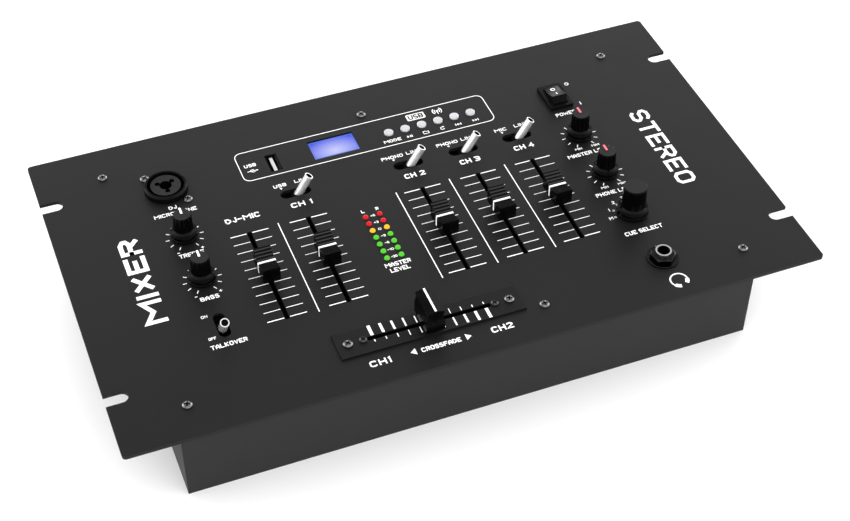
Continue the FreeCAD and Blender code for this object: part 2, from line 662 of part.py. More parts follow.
def add_flutes(body, label, radius, top):
    """Shallow upright grooves round the grip, open at its top edge."""
    flute = body.newObject("Sketcher::SketchObject", label + "_flute")
    flute.AttachmentSupport = [(plane_of(body, "XY_Plane"), "")]
    flute.MapMode = "FlatFace"
    bind(flute, "AttachmentOffset.Base.z", top)
    size = value("flute_radius")
    away = value(f"{radius} + flute_away")
    flute.addGeometry(Part.Circle(Vector(away, 0, 0), Vector(0, 0, 1), size))
    width = flute.addConstraint(Sketcher.Constraint("Radius", 0, size))
    bind(flute, f"Constraints[{width}]", "flute_radius")
    flute.addConstraint(Sketcher.Constraint("PointOnObject", 0, 3, -1))
    reach = flute.addConstraint(Sketcher.Constraint("DistanceX", -1, 1, 0, 3, away))
    bind(flute, f"Constraints[{reach}]", f"{radius} + flute_away")
    groove = pocket(body, label + "_groove", flute, f"{top} - (knob_rim + 1.7)")
    pattern = body.newObject("PartDesign::PolarPattern", label + "_flutes")
    pattern.Originals = [groove]
    pattern.Axis = (flute, ["N_Axis"])
    pattern.Angle = 360
    pattern.Occurrences = FLUTES
    body.Tip = pattern


def shaft_piece(label, x, y, shaft_top):
    """The control's shaft with its rotor; a flat on the upper end keys the knob."""
    start = "board_top + 3 - deck"
    stem = rod(label + "_stem", ("0", "0", start), "shaft_radius",
               f"{shaft_top} - ({start})")
    flat = block(label + "_flat", ("-4", "1.5", "knob_gap + 4"),
                 ("8", "4", f"{shaft_top} - knob_gap - 4"))
    rotor = rod(label + "_rotor", ("0", "0", start), "shaft_radius + 2.4", "1.6")
    whole = fuse(label + "_shaft_solid", [cut(label + "_stem_cut", stem, [flat]), rotor])
    place(whole, (x, y, "deck"))
    finish(whole, label + "_shaft")


def pot_bodies():
    """The body and threaded bushing of each rotary control."""
    low = "board_top + 1"
    case = centred_block("pot_case", ("0", "0", low), ("pot_size", "pot_size", "pot_height"))
    bushing_base = f"{low} + pot_height"
    bushing = rod("pot_bushing", ("0", "0", bushing_base), "bushing_radius",
                  f"deck + bushing_rise - ({bushing_base})")
    pins = [centred_block(f"pot_pin{i}", (f"{x} * 5", "-6", "board_top"), ("1", "1", "1"))
            for i, x in enumerate((-1, 0, 1))]
    rotor_room = rod("rotor_room", ("0", "0", "board_top + 2.6"), "shaft_radius + 2.8", "2.4")
    bore = rod("pot_bore", ("0", "0", "board_top + 3"), "shaft_radius + 0.05", "30")
    template = fuse("pot_template",
                    [cut("pot_hollow", fuse("pot_solid", [case, bushing]), [rotor_room, bore])]
                    + pins)
    doc.recompute()
    repeated("pot_bodies", template, [at(x, y, "0") for x, y in KNOBS.values()])


def pot_nuts():
    """The flanged hexagon nut that clamps each rotary control to the panel."""
    nut = fuse("pot_nut_solid", [
        hexagon("pot_nut_hex", ("0", "0", "0.4"), "pot_nut_flats", "pot_nut_height - 0.4"),
        rod("pot_nut_flange", ("0", "0", "0"), "pot_nut_flange", "0.4"),
    ])
    hole = rod("pot_nut_hole", ("0", "0", "0"), "bushing_radius", "pot_nut_height")
    template = cut("pot_nut_template", nut, [hole])
    doc.recompute()
    repeated("pot_nuts", template,
             [at(x, y, "deck", Vector(0, 0, 1), 13 * i)
              for i, (x, y) in enumerate(KNOBS.values())])


def rotary_controls():
    for name, (x, y) in KNOBS.items():
        if name == "cue":
            knob(name, x, y, "cue_radius", "cue_skirt", "cue_top", fluted=False)
        else:
            knob(name, x, y, "knob_radius", "knob_skirt", "knob_top")
    pot_bodies()
    pot_nuts()


# ---- lever switches ---------------------------------------------------------------------------

def switch_places():
    """Each lever switch with its middle and the turn of its swing direction from +X."""
    places = {name: (x, "toggle_y", 0) for name, x in SWITCH_COLUMNS.items()}
    places["talkover"] = ("talkover_x", "talkover_y", -90)
    return places


def toggle_bodies():
    """The switch bodies: each has a round seat for the lever's barrel and room for its swing."""
    height = "deck - panel_thick - 0.2 - board_top"
    case = centred_block("toggle_case", ("0", "0", "board_top"), ("14", "8.4", height))
    axis_height = "deck - lever_pivot"
    seat = rod("toggle_seat", ("0", "-2.8", axis_height), "lever_barrel + 0.3", "5.6", "y")
    swing = centred_block("toggle_swing", ("0", "0", axis_height), ("11.4", "5.6", "4"))
    template = cut("toggle_template", case, [seat, swing])
    doc.recompute()
    repeated("toggle_bodies", template,
             [at(x, y, "0", Vector(0, 0, 1), turn) for x, y, turn in switch_places().values()])


def toggle_lever(label, x, y, turn):
    """A plated lever with a dished end, tilted about its barrel."""
    stem = rod(label + "_rod", ("0", "0", "0"), "lever_radius", "lever_length")
    dish = rod(label + "_dish", ("0", "0", "lever_length - 0.8"), "lever_radius * 0.78", "0.8")
    barrel = rod(label + "_barrel", ("0", "-2.5", "0"), "lever_barrel", "5", "y")
    lever = fuse(label + "_solid", [cut(label + "_dished", stem, [dish]), barrel])
    tilt = Rotation(Vector(0, 1, 0), value("lever_tilt"))
    swing = Rotation(Vector(0, 0, 1), turn)
    lever.Placement = FreeCAD.Placement(Vector(), swing.multiply(tilt))
    place(lever, (x, y, "deck - lever_pivot"))
    finish(lever, label + "_lever")


def lever_switches():
    toggle_bodies()
    for name, (x, y, turn) in switch_places().items():
        toggle_lever(name, x, y, turn)


# ---- sockets ----------------------------------------------------------------------------------

def mic_socket():
    """A combined socket: a housing behind the panel and an insert with jack and pin holes."""
    x, y = "mic_socket_x", "mic_socket_y"
    under = "deck - panel_thick"
    top = "deck + mic_rise"
    floor = f"{top} - jack_depth - 3"
    barrel = rod("mic_barrel", (x, y, floor), "mic_bezel", f"{top} - ({floor}) - 0.8")
    lip = doc.addObject("Part::Cone", "mic_lip")
    bind(lip, "Radius1", "mic_bezel")
    bind(lip, "Radius2", "mic_bezel - 0.7")
    bind(lip, "Height", "0.8")
    place(lip, (x, y, f"{top} - 0.8"))
    flange = centred_block("mic_flange", (x, y, f"{under} - 2"), ("26", "31", "2"))
    room = rod("mic_room", (x, y, f"{top} - 15"), "mic_groove", "15")
    seat = rod("mic_seat", (x, y, floor), "mic_insert", "jack_depth + 3 - 15")
    holes = [rod(f"mic_thread{i}", (sx, sy, f"{under} - 2"), "screw_radius", "2")
             for i, (sx, sy) in enumerate(MIC_SCREWS)]
    finish(cut("mic_shell_cut", fuse("mic_shell_solid", [barrel, lip, flange]),
               [room, seat] + holes), "mic_socket_shell")

    post = rod("mic_post", (x, y, floor), "mic_insert", f"{top} - 0.6 - ({floor})")
    jack = rod("mic_jack", (x, y, f"{top} - 0.6 - jack_depth"), "jack_radius", "jack_depth")
    pins = []
    for i, angle in enumerate((-90, 30, 150)):
        away = f"({x}) + {4.5 * math.cos(math.radians(angle)):.4f}"
        back = f"({y}) + {4.5 * math.sin(math.radians(angle)):.4f}"
        pins.append(rod(f"mic_pin_hole{i}", (away, back, f"{top} - 15.6"), "1.35", "15"))
    finish(cut("mic_insert_cut", post, [jack] + pins), "mic_socket_insert")


def headphone_socket():
    x, y = "phones_x", "phones_y"
    under = "deck - panel_thick"
    bushing = rod("phones_bushing_rod", (x, y, under), "phones_bushing",
                  "panel_thick + phones_rise")
    case = centred_block("phones_case", (x, y, f"{under} - 26"), ("17", "15", "26"))
    bore = rod("phones_bore", (x, y, f"{under} - 24"), "jack_radius",
               "24 + panel_thick + phones_rise")
    finish(cut("phones_cut", fuse("phones_solid", [case, bushing]), [bore]), "headphone_socket")

    washer = rod("phones_washer_disc", (x, y, "deck"), "phones_washer", "phones_washer_thick")
    hole = rod("phones_washer_hole", (x, y, "deck"), "phones_bushing", "phones_washer_thick")
    finish(cut("phones_washer_cut", washer, [hole]), "headphone_washer")

    level = "deck + phones_washer_thick"
    nut = hexagon("phones_nut_hex", (x, y, level), "phones_nut_flats", "phones_nut_height")
    turn = Rotation(Vector(0, 0, 1), value("phones_nut_turn"))
    nut.Placement = FreeCAD.Placement(Vector(), turn)
    place(nut, (x, y, level))
    bevel = doc.addObject("Part::Cone", "phones_nut_bevel")
    bind(bevel, "Radius1", "phones_nut_flats * 0.98")
    bind(bevel, "Radius2", "phones_nut_flats * 0.48")
    bind(bevel, "Height", "phones_nut_height")
    place(bevel, (x, y, level))
    shaped = shared("phones_nut_shaped", nut, bevel)
    thread = rod("phones_nut_thread", (x, y, level), "phones_bushing", "phones_nut_height")
    finish(cut("phones_nut_cut", shaped, [thread]), "headphone_nut")


def usb_socket():
    """A folded metal shell round a plastic tongue, soldered to the player board."""
    x, y, base = "usb_x", "usb_y", "player_board_top"
    top = "deck - 0.3"
    shell = centred_block("usb_shell", (x, y, base), ("usb_width", "usb_length", f"{top} - {base}"))
    room = centred_block("usb_room", (x, y, f"{base} + 1.5"),
                         ("usb_width - 2 * usb_wall", "usb_length - 2 * usb_wall",
                          f"{top} - {base} - 1.5"))
    tongue = block("usb_tongue", (f"{x} - 1.05", f"{y} - usb_length / 2 + 1",
                                  f"{base} + 1.5"),
                   ("1.8", "usb_length - 2", f"{top} - {base} - 2.3"))
    finish(fuse("usb_solid", [cut("usb_hollow", shell, [room]), tongue]), "usb_socket")


# ---- media player strip and meter -------------------------------------------------------------

def player_board():
    """The small board behind the player strip, with one push switch under each button."""
    low = "player_board_top - board_thick"
    board = block("player_plate", ("usb_x - 10", "player_y - 11.5", low),
                  ("button_x + 5 * button_pitch - usb_x + 17", "24", "board_thick"))
    parts = [board]
    for i in range(len(BUTTONS)):
        x = f"button_x + {i} * button_pitch"
        parts.append(centred_block(f"push_case{i}", (x, "player_y", "player_board_top"),
                                   ("6", "6", "3.4")))
        parts.append(rod(f"push_plunger{i}", (x, "player_y", "player_board_top + 3.4"), "1.6",
                         "0.9"))
    finish(fuse("player_board_solid", parts), "player_board")


def player_buttons():
    """Domed buttons, each kept in by a flange under the panel."""
    low = "player_board_top + 4.4"
    under = "deck - panel_thick"
    for i, name in enumerate(BUTTONS):
        label = f"{name}_button"
        foot = f"{low} + button_travel"
        profile = [("0", "0"), ("1.6", "0"), ("1.6", f"{under} - 1.2 - ({foot})"),
                   ("button_radius + 0.9", f"{under} - 1.2 - ({foot})"),
                   ("button_radius + 0.9", f"{under} - 0.2 - ({foot})"),
                   ("button_radius", f"{under} - 0.2 - ({foot})"),
                   ("button_radius", f"deck + button_rise - 0.4 - ({foot})"),
                   ("button_radius * 0.85", f"deck + button_rise - 0.12 - ({foot})"),
                   ("button_radius * 0.5", f"deck + button_rise - ({foot})"),
                   ("0", f"deck + button_rise - ({foot})")]
        body = revolved_body(label + "_body", profile)
        place(body, (f"button_x + {i} * button_pitch", "player_y", foot))
        finish(body, label)


def display_module():
    """The backlit display: a housing behind the panel with a clear raised window."""
    x, y = "display_x", "display_y"
    under = "deck - panel_thick"
    case = centred_block("display_case", (x, y, "player_board_top"),
                         ("display_length + 5", "display_width + 4",
                          f"{under} - 0.2 - player_board_top"))
    window = centred_block("display_window", (x, y, f"{under} - 0.2"),
                           ("display_length - 0.4", "display_width - 0.4", "panel_thick - 0.4"))
    finish(fuse("display_solid", [case, window]), "display_module")


def meter_leds():
    """Two columns of round lamps standing on the main board."""
    tip = "deck - board_top - 6 + led_rise"
    profile = [("0", "0"), ("led_radius + 0.4", "0"), ("led_radius + 0.4", "1"),
               ("led_radius", "1"), ("led_radius", f"{tip} - 1.2"),
               ("led_radius * 0.8", f"{tip} - 0.5"), ("led_radius * 0.4", f"{tip} - 0.1"),
               ("0", tip)]
    lamp = revolved_body("led_blank", profile)
    legs = [centred_block(f"led_leg{side + 1}", (f"{side} * 1.27", "0", "-6"), ("0.5", "0.5", "6"))
            for side in (-1, 1)]
    template = fuse("led_template", [lamp] + legs)
    doc.recompute()
    places = [at(f"meter_x + {side} * meter_gap / 2", f"meter_y - {i} * meter_pitch",
                 "board_top + 6") for i in range(METER_ROWS) for side in (-1, 1)]
    repeated("meter_leds", template, places)


# ---- power switch -----------------------------------------------------------------------------

def power_switch():
    """A rocker with a dished top, held by two pins in a snap-in frame."""
    x, y = "switch_x", "switch_y"
    pivot_height = "deck + rocker_pivot"
    rim = centred_block("switch_rim_plate", (x, y, "deck"),
                        ("switch_width", "switch_length", "switch_rim"))
    case = centred_block("switch_case", (x, y, "board_top + 0.8"),
                         ("switch_width - 2", "switch_length - 2", "deck - board_top - 0.8"))
    room = centred_block("switch_room", (x, f"{y} - 0.4", "deck - 8"),
                         ("rocker_width + 0.6", "rocker_length + 2.4", "8 + switch_rim"))
    seat = rod("rocker_seat", (f"{x} - rocker_width / 2 - 1", "rocker_y", pivot_height), "1.1",
               "rocker_width + 2", "x")
    blades = [centred_block(f"switch_blade{i}", (x, f"{y} + {reach}", "board_top - 6"),
                            ("4.6", "0.8", "6.8")) for i, reach in enumerate((-5, 5))]
    finish(fuse("switch_solid",
                [cut("switch_hollow", fuse("switch_outer", [rim, case]), [room, seat])] + blades),
           "power_switch_frame")

    key = centred_block("rocker_key", ("0", "0", "-rocker_drop"),
                        ("rocker_width", "rocker_length", "rocker_drop + rocker_rise"))
    dish_floor = "rocker_rise - rocker_length ^ 2 / (8 * rocker_dish)"
    dish = rod("rocker_hollow", ("-rocker_width / 2 - 1", "0", f"{dish_floor} + rocker_dish"),
               "rocker_dish", "rocker_width + 2", "x")
    pin = rod("rocker_pin", ("-rocker_width / 2 - 0.8", "0", "0"), "1", "rocker_width + 1.6", "x")
    rocker = fuse("rocker_solid", [cut("rocker_cut", key, [dish]), pin])
    rocker.Placement = FreeCAD.Placement(Vector(),
                                         Rotation(Vector(1, 0, 0), -value("rocker_tilt")))
    place(rocker, (x, "rocker_y", pivot_height))
    finish(rocker, "power_rocker")


# ---- boards, transformer and rear fittings ----------------------------------------------------

def main_board():
    """The main circuit board under the controls, with its larger components."""
    low = "board_top - board_thick"
    parts = [centred_block("main_plate", ("board_x", "board_y", low),
                           ("board_length", "board_width", "board_thick"))]
    for i, (x, y) in enumerate(CHIPS):
        parts.append(centred_block(f"chip{i}", (str(x), str(y), f"{low} - 3"), ("10", "7", "3")))
    for i, (x, y) in enumerate(CAPACITORS):
        parts.append(rod(f"capacitor{i}", (str(x), str(y), f"{low} - 16"), "5", "16"))
    finish(fuse("main_board_solid", parts), "main_board")


def board_standoffs():
    """Hexagonal posts that hang both boards from the panel."""
    main = hexagon("main_post", ("0", "0", "board_top"), "post_flats",
                   "deck - panel_thick - board_top")
    short = hexagon("player_post", ("0", "0", "player_board_top"), "short_post_flats",
                    "deck - panel_thick - player_board_top")
    doc.recompute()
    group = doc.addObject("Part::Feature", "board_standoffs")
    posts = []
    for template, places in ((main, MAIN_POSTS), (short, PLAYER_POSTS)):
        for x, y in places:
            post = template.Shape.copy()
            post.translate(Vector(x, y, 0))
            posts.append(post)
    group.Shape = Part.makeCompound(posts)
    finish(group, "board_standoffs")


def mains_transformer():
    """A laminated core with its winding, standing on the bottom cover."""
    x, y = "core_x", "core_y"
    floor = "cover_recess + wall"
    inside = "core_height - 2 * core_yoke"
    core = centred_block("core", (x, y, floor), ("core_length", "core_width", "core_height"))
    window = centred_block("core_window", (x, y, f"{floor} + core_yoke"),
                           ("core_length - 2 * core_limb", "core_width", inside))
    winding = centred_block("winding", (x, y, f"{floor} + core_yoke"),
                            ("core_length - 2 * core_limb - 2", "winding_width", inside))
    foot = centred_block("core_foot", (x, y, floor), ("foot_length", "core_width", "1.2"))
    finish(fuse("transformer_solid", [cut("core_cut", core, [window]), winding, foot]),
           "mains_transformer")


def cable_gland():
    """The nylon gland in the rear wall that grips the mains cable."""
    x, z = "gland_x", "gland_z"
    inner = "body_rear - wall"
    outside = hexagon("gland_hex", (x, "body_rear", z), "gland_flats", "gland_hex", "y")
    nose = doc.addObject("Part::Cone", "gland_nose")
    nose.Placement = FreeCAD.Placement(Vector(), AXIS_TURN["y"])
    bind(nose, "Radius1", "gland_flats / 2 - 0.4")
    bind(nose, "Radius2", "gland_bore + 1.35")
    bind(nose, "Height", "gland_nose")
    place(nose, (x, "body_rear + gland_hex", z))
    thread = rod("gland_thread", (x, f"{inner} - 8", z), "gland_thread", "wall + 8", "y")
    nut = hexagon("gland_nut", (x, f"{inner} - 4", z), "gland_flats - 1", "4", "y")
    bore = rod("gland_bore", (x, f"{inner} - 8", z), "gland_bore", "wall + 20", "y")
    finish(cut("gland_cut", fuse("gland_solid", [outside, nose, thread, nut]), [bore]),
           "cable_gland")


def rca_sockets():
    """Plated barrels in moulded blocks behind the rear wall, one block to a pair."""
    inner = "body_rear - wall"
    blocks = []
    for pair in range(RCA_PAIRS):
        x = f"rca_x + {pair} * rca_pitch"
        blocks.append(block(f"rca_block{pair}",
                            (f"{x} - 5.5", f"{inner} - 12", "rca_z - rca_spacing / 2 - 6"),
                            ("11", "12", "rca_spacing + 12")))
    barrels = []
    bores = []
    for i, (x, z) in enumerate(rca_places()):
        barrels.append(rod(f"rca_neck{i}", (x, inner, z), "rca_neck", "wall", "y"))
        barrels.append(rod(f"rca_barrel{i}", (x, "body_rear", z), "rca_radius", "rca_reach", "y"))
        bores.append(rod(f"rca_bore{i}", (x, f"{inner} - 4", z), "rca_bore",
                         "wall + rca_reach + 4", "y"))
    finish(cut("rca_cut", fuse("rca_solid", blocks + barrels), bores), "rca_sockets")


def ground_terminal():
    """The turntable earth post with its thumb nut."""
    x, z = "ground_x", "ground_z"
    stud = rod("ground_stud", (x, "body_rear - wall - 6", z), "2", "wall + 16", "y")
    collar = rod("ground_collar", (x, "body_rear", z), "3.6", "1.2", "y")
    thumb = rod("ground_thumb", (x, "body_rear + 2.4", z), "4.4", "5", "y")
    notches = []
    for i in range(12):
        angle = math.radians(30 * i)
        notches.append(rod(f"ground_notch{i}",
                           (f"{x} + {4.7 * math.cos(angle):.4f}", "body_rear + 2.4",
                            f"{z} + {4.7 * math.sin(angle):.4f}"), "0.6", "5", "y"))
    nut = hexagon("ground_nut", (x, "body_rear - wall - 3", z), "7", "3", "y")
    finish(fuse("ground_solid", [stud, collar, cut("ground_knurled", thumb, notches), nut]),
           "ground_terminal")


def build():
    fill_sheet()
    front_panel()
    chassis_tub()
    bottom_cover()
    m3_screws()
    faders()
    rotary_controls()
    lever_switches()
    mic_socket()
    headphone_socket()
    usb_socket()
    player_board()
    player_buttons()
    display_module()
    meter_leds()
    power_switch()
    main_board()
    board_standoffs()
    mains_transformer()
    cable_gland()
    rca_sockets()
    ground_terminal()
    doc.recompute()


def check_and_export():
    """Stop on any failed object or bad shape, then write one STEP file for each node."""
    for item in doc.Objects:
        if "Invalid" in item.State or "Error" in item.State:
            raise ValueError(f"{item.Name} failed: {item.State}")
    for node in nodes:
        if node.Shape.isNull() or not node.Shape.isValid() or not node.Shape.Solids:
            raise ValueError(f"{node.Label} has a bad shape")
    os.makedirs("parts", exist_ok=True)
    for node in nodes:
        node.Shape.exportStep(f"parts/{node.Label}.step")
    print(len(nodes), "nodes written")


build()
check_and_export()
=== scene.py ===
"""Looks for the DJ mixer: screen print, lamps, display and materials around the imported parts."""
import json
import math

import bmesh
import bpy
from mathutils import Matrix, Vector


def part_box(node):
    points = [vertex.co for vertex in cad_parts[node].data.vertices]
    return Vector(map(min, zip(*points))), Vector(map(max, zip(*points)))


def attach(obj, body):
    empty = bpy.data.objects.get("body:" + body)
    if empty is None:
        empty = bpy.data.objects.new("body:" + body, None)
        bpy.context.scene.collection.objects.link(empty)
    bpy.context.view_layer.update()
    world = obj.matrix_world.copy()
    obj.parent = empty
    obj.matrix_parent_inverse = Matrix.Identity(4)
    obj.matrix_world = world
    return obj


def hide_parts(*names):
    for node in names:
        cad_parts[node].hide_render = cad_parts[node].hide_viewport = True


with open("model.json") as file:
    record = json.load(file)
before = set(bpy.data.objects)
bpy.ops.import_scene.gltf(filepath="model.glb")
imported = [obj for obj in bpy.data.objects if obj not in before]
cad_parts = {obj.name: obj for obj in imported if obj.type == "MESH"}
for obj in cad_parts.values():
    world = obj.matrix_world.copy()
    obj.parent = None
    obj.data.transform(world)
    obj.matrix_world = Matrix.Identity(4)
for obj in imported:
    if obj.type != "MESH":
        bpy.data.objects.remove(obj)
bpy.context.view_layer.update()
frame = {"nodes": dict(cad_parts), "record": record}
MM = 0.001


# ---- places read from the parts, in millimetres -------------------------------------------------

def middle(node):
    low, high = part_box(node)
    return (low + high) / 2 / MM


def top(node):
    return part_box(node)[1].z / MM


DECK = top("front_panel")
PLATE = top("crossfader_plate")
COLUMNS = ("mic", "ch1", "ch2", "ch3", "ch4")
BUTTONS = ("mode", "play", "folder", "repeat", "previous", "next")
COLUMN_X = {name: middle(f"{name}_fader_cap").x for name in COLUMNS}
FADER_Y = middle("ch1_fader_cap").y
CROSS = middle("crossfader_plate")
METER = middle("meter_leds")
DISPLAY = middle("display_module")
USB = middle("usb_socket")


# ---- materials ----------------------------------------------------------------------------------

class Look:
    """A principled material whose nodes are added one at a time."""

    def __init__(self, name, color, roughness, metallic=0.0, **sockets):
        self.material = bpy.data.materials.new(name)
        self.material.use_nodes = True
        self.nodes = self.material.node_tree.nodes
        self.links = self.material.node_tree.links
        self.shader = self.nodes["Principled BSDF"]
        self.shader.inputs["Base Color"].default_value = (*color, 1)
        self.shader.inputs["Roughness"].default_value = roughness
        self.shader.inputs["Metallic"].default_value = metallic
        for socket, number in sockets.items():
            self.shader.inputs[socket.replace("_", " ")].default_value = number
        self.space = self.nodes.new("ShaderNodeTexCoord").outputs["Object"]

    def noise(self, scale, detail=3.0, stretch=None):
        source = self.space
        if stretch:
            mapping = self.nodes.new("ShaderNodeMapping")
            mapping.inputs["Scale"].default_value = stretch
            self.links.new(source, mapping.inputs["Vector"])
            source = mapping.outputs["Vector"]
        texture = self.nodes.new("ShaderNodeTexNoise")
        texture.inputs["Scale"].default_value = scale
        texture.inputs["Detail"].default_value = detail
        self.links.new(source, texture.inputs["Vector"])
        return texture.outputs["Fac"]

    def ramp(self, source, low, high, start=0.3, end=0.7):
        """Map a texture onto a range of greys or colours."""
        node = self.nodes.new("ShaderNodeValToRGB")
        node.color_ramp.elements[0].position = start
        node.color_ramp.elements[1].position = end
        for element, shade in zip(node.color_ramp.elements, (low, high)):
            element.color = (*shade, 1) if isinstance(shade, tuple) else (shade,) * 3 + (1,)
        self.links.new(source, node.inputs["Fac"])
        return node.outputs["Color"]

    def drive(self, socket, source):
        self.links.new(source, self.shader.inputs[socket])
        return self

    def bump(self, source, strength, distance):
        node = self.nodes.new("ShaderNodeBump")
        node.inputs["Strength"].default_value = strength
        node.inputs["Distance"].default_value = distance
        self.links.new(source, node.inputs["Height"])
        self.links.new(node.outputs["Normal"], self.shader.inputs["Normal"])
        return self


PAINT_SHEEN = 0.11


def powder_coat(name, shade, roughness=0.5, grain=1800, strength=0.25):
    """Satin black powder coat: fine orange peel, with slight changes in shade and gloss."""
    look = Look(name, (shade,) * 3, roughness, Specular_IOR_Level=PAINT_SHEEN)
    broad = look.noise(14, 4)
    look.drive("Base Color", look.ramp(broad, shade * 0.95, shade * 1.05))
    look.drive("Roughness", look.ramp(look.noise(60, 5), roughness - 0.03, roughness + 0.03))
    look.bump(look.noise(grain, 2), strength, 0.00012)
    return look.material


def plastic(name, color, roughness, grain=2600, strength=0.12, **sockets):
    """Moulded plastic with a fine spark-eroded surface and faint handling marks."""
    look = Look(name, color, roughness, **sockets)
    smear = look.noise(220, 6)
    look.drive("Roughness", look.ramp(smear, roughness - 0.05, roughness + 0.08))
    darker = tuple(part * 0.88 for part in color)
    lighter = tuple(min(1.0, part * 1.12) for part in color)
    look.drive("Base Color", look.ramp(look.noise(90, 3), darker, lighter))
    look.bump(look.noise(grain, 2), strength, 0.00006)
    return look.material


def metal(name, color, roughness, stretch=(1, 1, 1), metallic=1.0):
    """Plated or drawn metal, with fine marks along one direction."""
    look = Look(name, color, roughness, metallic)
    marks = look.noise(3500, 4, stretch)
    look.drive("Roughness", look.ramp(marks, roughness - 0.03, roughness + 0.03))
    darker = tuple(part * 0.96 for part in color)
    look.drive("Base Color", look.ramp(look.noise(400, 4), darker, color))
    look.bump(marks, 0.04, 0.00001)
    return look.material


def paint_print(name, color):
    """Screen-printed ink, a little uneven."""
    look = Look(name, color, 0.5)
    thin = tuple(part * 0.93 for part in color)
    look.drive("Base Color", look.ramp(look.noise(700, 3), thin, color, 0.25, 0.6))
    look.bump(look.noise(3000, 2), 0.1, 0.00003)
    return look.material


def lamp_lens(name, color, glow):
    """A tinted lamp body, lit from inside, with a slightly cloudy lens."""
    body = tuple(part * 0.22 for part in color)
    look = Look(name, body, 0.2, Specular_IOR_Level=0.15)
    swirl = look.ramp(look.noise(1500, 2), tuple(part * 0.7 for part in body), body)
    look.drive("Base Color", swirl)
    look.shader.inputs["Emission Color"].default_value = (*color, 1)
    look.shader.inputs["Emission Strength"].default_value = glow
    look.bump(look.noise(900, 2), 0.05, 0.00004)
    return look.material


def board_resin():
    look = Look("board_resin", (0.03, 0.12, 0.05), 0.35)
    look.drive("Base Color", look.ramp(look.noise(400, 6), (0.02, 0.09, 0.04),
                                       (0.05, 0.17, 0.07), 0.45, 0.55))
    look.bump(look.noise(1200, 3), 0.2, 0.0001)
    return look.material


LOOKS = {
    "panel_paint": powder_coat("panel_paint", 0.0065, 0.47),
    "chassis_paint": powder_coat("chassis_paint", 0.014, 0.5, 1500, 0.35),
    "plate_paint": powder_coat("plate_paint", 0.003, 0.5, 2600, 0.6),
    "screw_steel": metal("screw_steel", (0.17, 0.17, 0.168), 0.18),
    "dark_screw": metal("dark_screw", (0.06, 0.055, 0.05), 0.24),
    "zinc_steel": metal("zinc_steel", (0.6, 0.6, 0.58), 0.32, (1, 14, 1)),
    "black_nickel": metal("black_nickel", (0.022, 0.022, 0.024), 0.1),
    "bright_chrome": metal("bright_chrome", (0.62, 0.62, 0.63), 0.09),
    "brass_plate": metal("brass_plate", (0.75, 0.58, 0.3), 0.25),
    "knob_plastic": plastic("knob_plastic", (0.0008, 0.0008, 0.001), 0.1, Specular_IOR_Level=0.05),
    "cap_plastic": plastic("cap_plastic", (0.0008, 0.0008, 0.001), 0.22, Specular_IOR_Level=0.06),
    "switch_plastic": plastic("switch_plastic", (0.003, 0.003, 0.0033), 0.28,
                              Specular_IOR_Level=0.06),
    "socket_plastic": plastic("socket_plastic", (0.0018, 0.0018, 0.002), 0.2,
                              Specular_IOR_Level=0.06),
    "button_plastic": plastic("button_plastic", (0.42, 0.42, 0.44), 0.36),
    "display_lens": plastic("display_lens", (0.006, 0.008, 0.02), 0.12),
    "led_green": lamp_lens("led_green", (0.09, 0.6, 0.028), 0.85),
    "led_yellow": lamp_lens("led_yellow", (0.95, 0.55, 0.02), 0.85),
    "led_red": lamp_lens("led_red", (0.7, 0.006, 0.016), 0.8),
    "board_resin": board_resin(),
    "core_iron": powder_coat("core_iron", 0.1, 0.6, 900, 0.5),
    "print_white": paint_print("print_white", (0.93, 0.93, 0.92)),
}
# Looks that single parts or faces take in place of their slot's own
LEVER_PLATING = metal("lever_plating", (0.6, 0.6, 0.6), 0.22, metallic=0.7)
# Matt face with painted light: a base colour about nine times lighter than the knob plastic stands
# in for the light that the tops catch
MATT_FACE_PAINTED_LIGHT = plastic("matt_face_painted_light", (0.0075, 0.0075, 0.0078), 0.45, Specular_IOR_Level=0.12)
POINTER_RED = paint_print("pointer_red", (0.8, 0.13, 0.17))
# Painted light: a lighter, glossier copy of the cap plastic stands in for the light on the caps'
# forward slopes
CAP_SLOPE_PAINTED_LIGHT = plastic("cap_slope_painted_light", (0.012, 0.012, 0.0125), 0.3, Specular_IOR_Level=0.2)
# Painted shade: a near-black matt look stands in for the shade inside slots, ports, screw crosses
# and lever dishes
RECESS_PAINTED_SHADE = plastic("recess_painted_shade", (0.0015, 0.0015, 0.0015), 0.6, Specular_IOR_Level=0.03)

# How far each slot's corners are softened, in millimetres
EDGES = {"panel_paint": 0.25, "chassis_paint": 0.3, "plate_paint": 0.15, "knob_plastic": 0.15,
         "cap_plastic": 0.2, "switch_plastic": 0.3, "button_plastic": 0.2, "black_nickel": 0.12}


def dress_parts():
    """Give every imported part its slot's look, or the levers their own, and soften its corners."""
    slots = {row["node"]: row["material_slot"] for row in frame["record"]["subparts"]}
    for name, part in frame["nodes"].items():
        part.data.materials.clear()
        part.data.materials.append(LEVER_PLATING if name.endswith("_lever") else LOOKS[slots[name]])
        width = EDGES.get(slots[name])
        if width:
            join = part.modifiers.new("join", "WELD")
            join.merge_threshold = 1e-6
            edge = part.modifiers.new("edge", "BEVEL")
            edge.width = width * MM
            edge.segments = 2
            edge.limit_method = "ANGLE"
            edge.angle_limit = math.radians(32)
            edge.harden_normals = True


def paint_faces(node, chosen, material=RECESS_PAINTED_SHADE):
    """Give the faces that chosen picks a look of their own, by default the painted shade of a
    recess.
    """
    part = frame["nodes"][node]
    part.data.materials.append(material)
    last = len(part.data.materials) - 1
    for face in part.data.polygons:
        if chosen(face.center / MM, face.normal):
            face.material_index = last


SCREW_RECESS = 0.375    # height of the cross recess's floor over the screw's seat
LEVER_LEAN = math.radians(31)
LEVER_DISH = 0.8        # how deep the dish in a lever's tip is taken to be


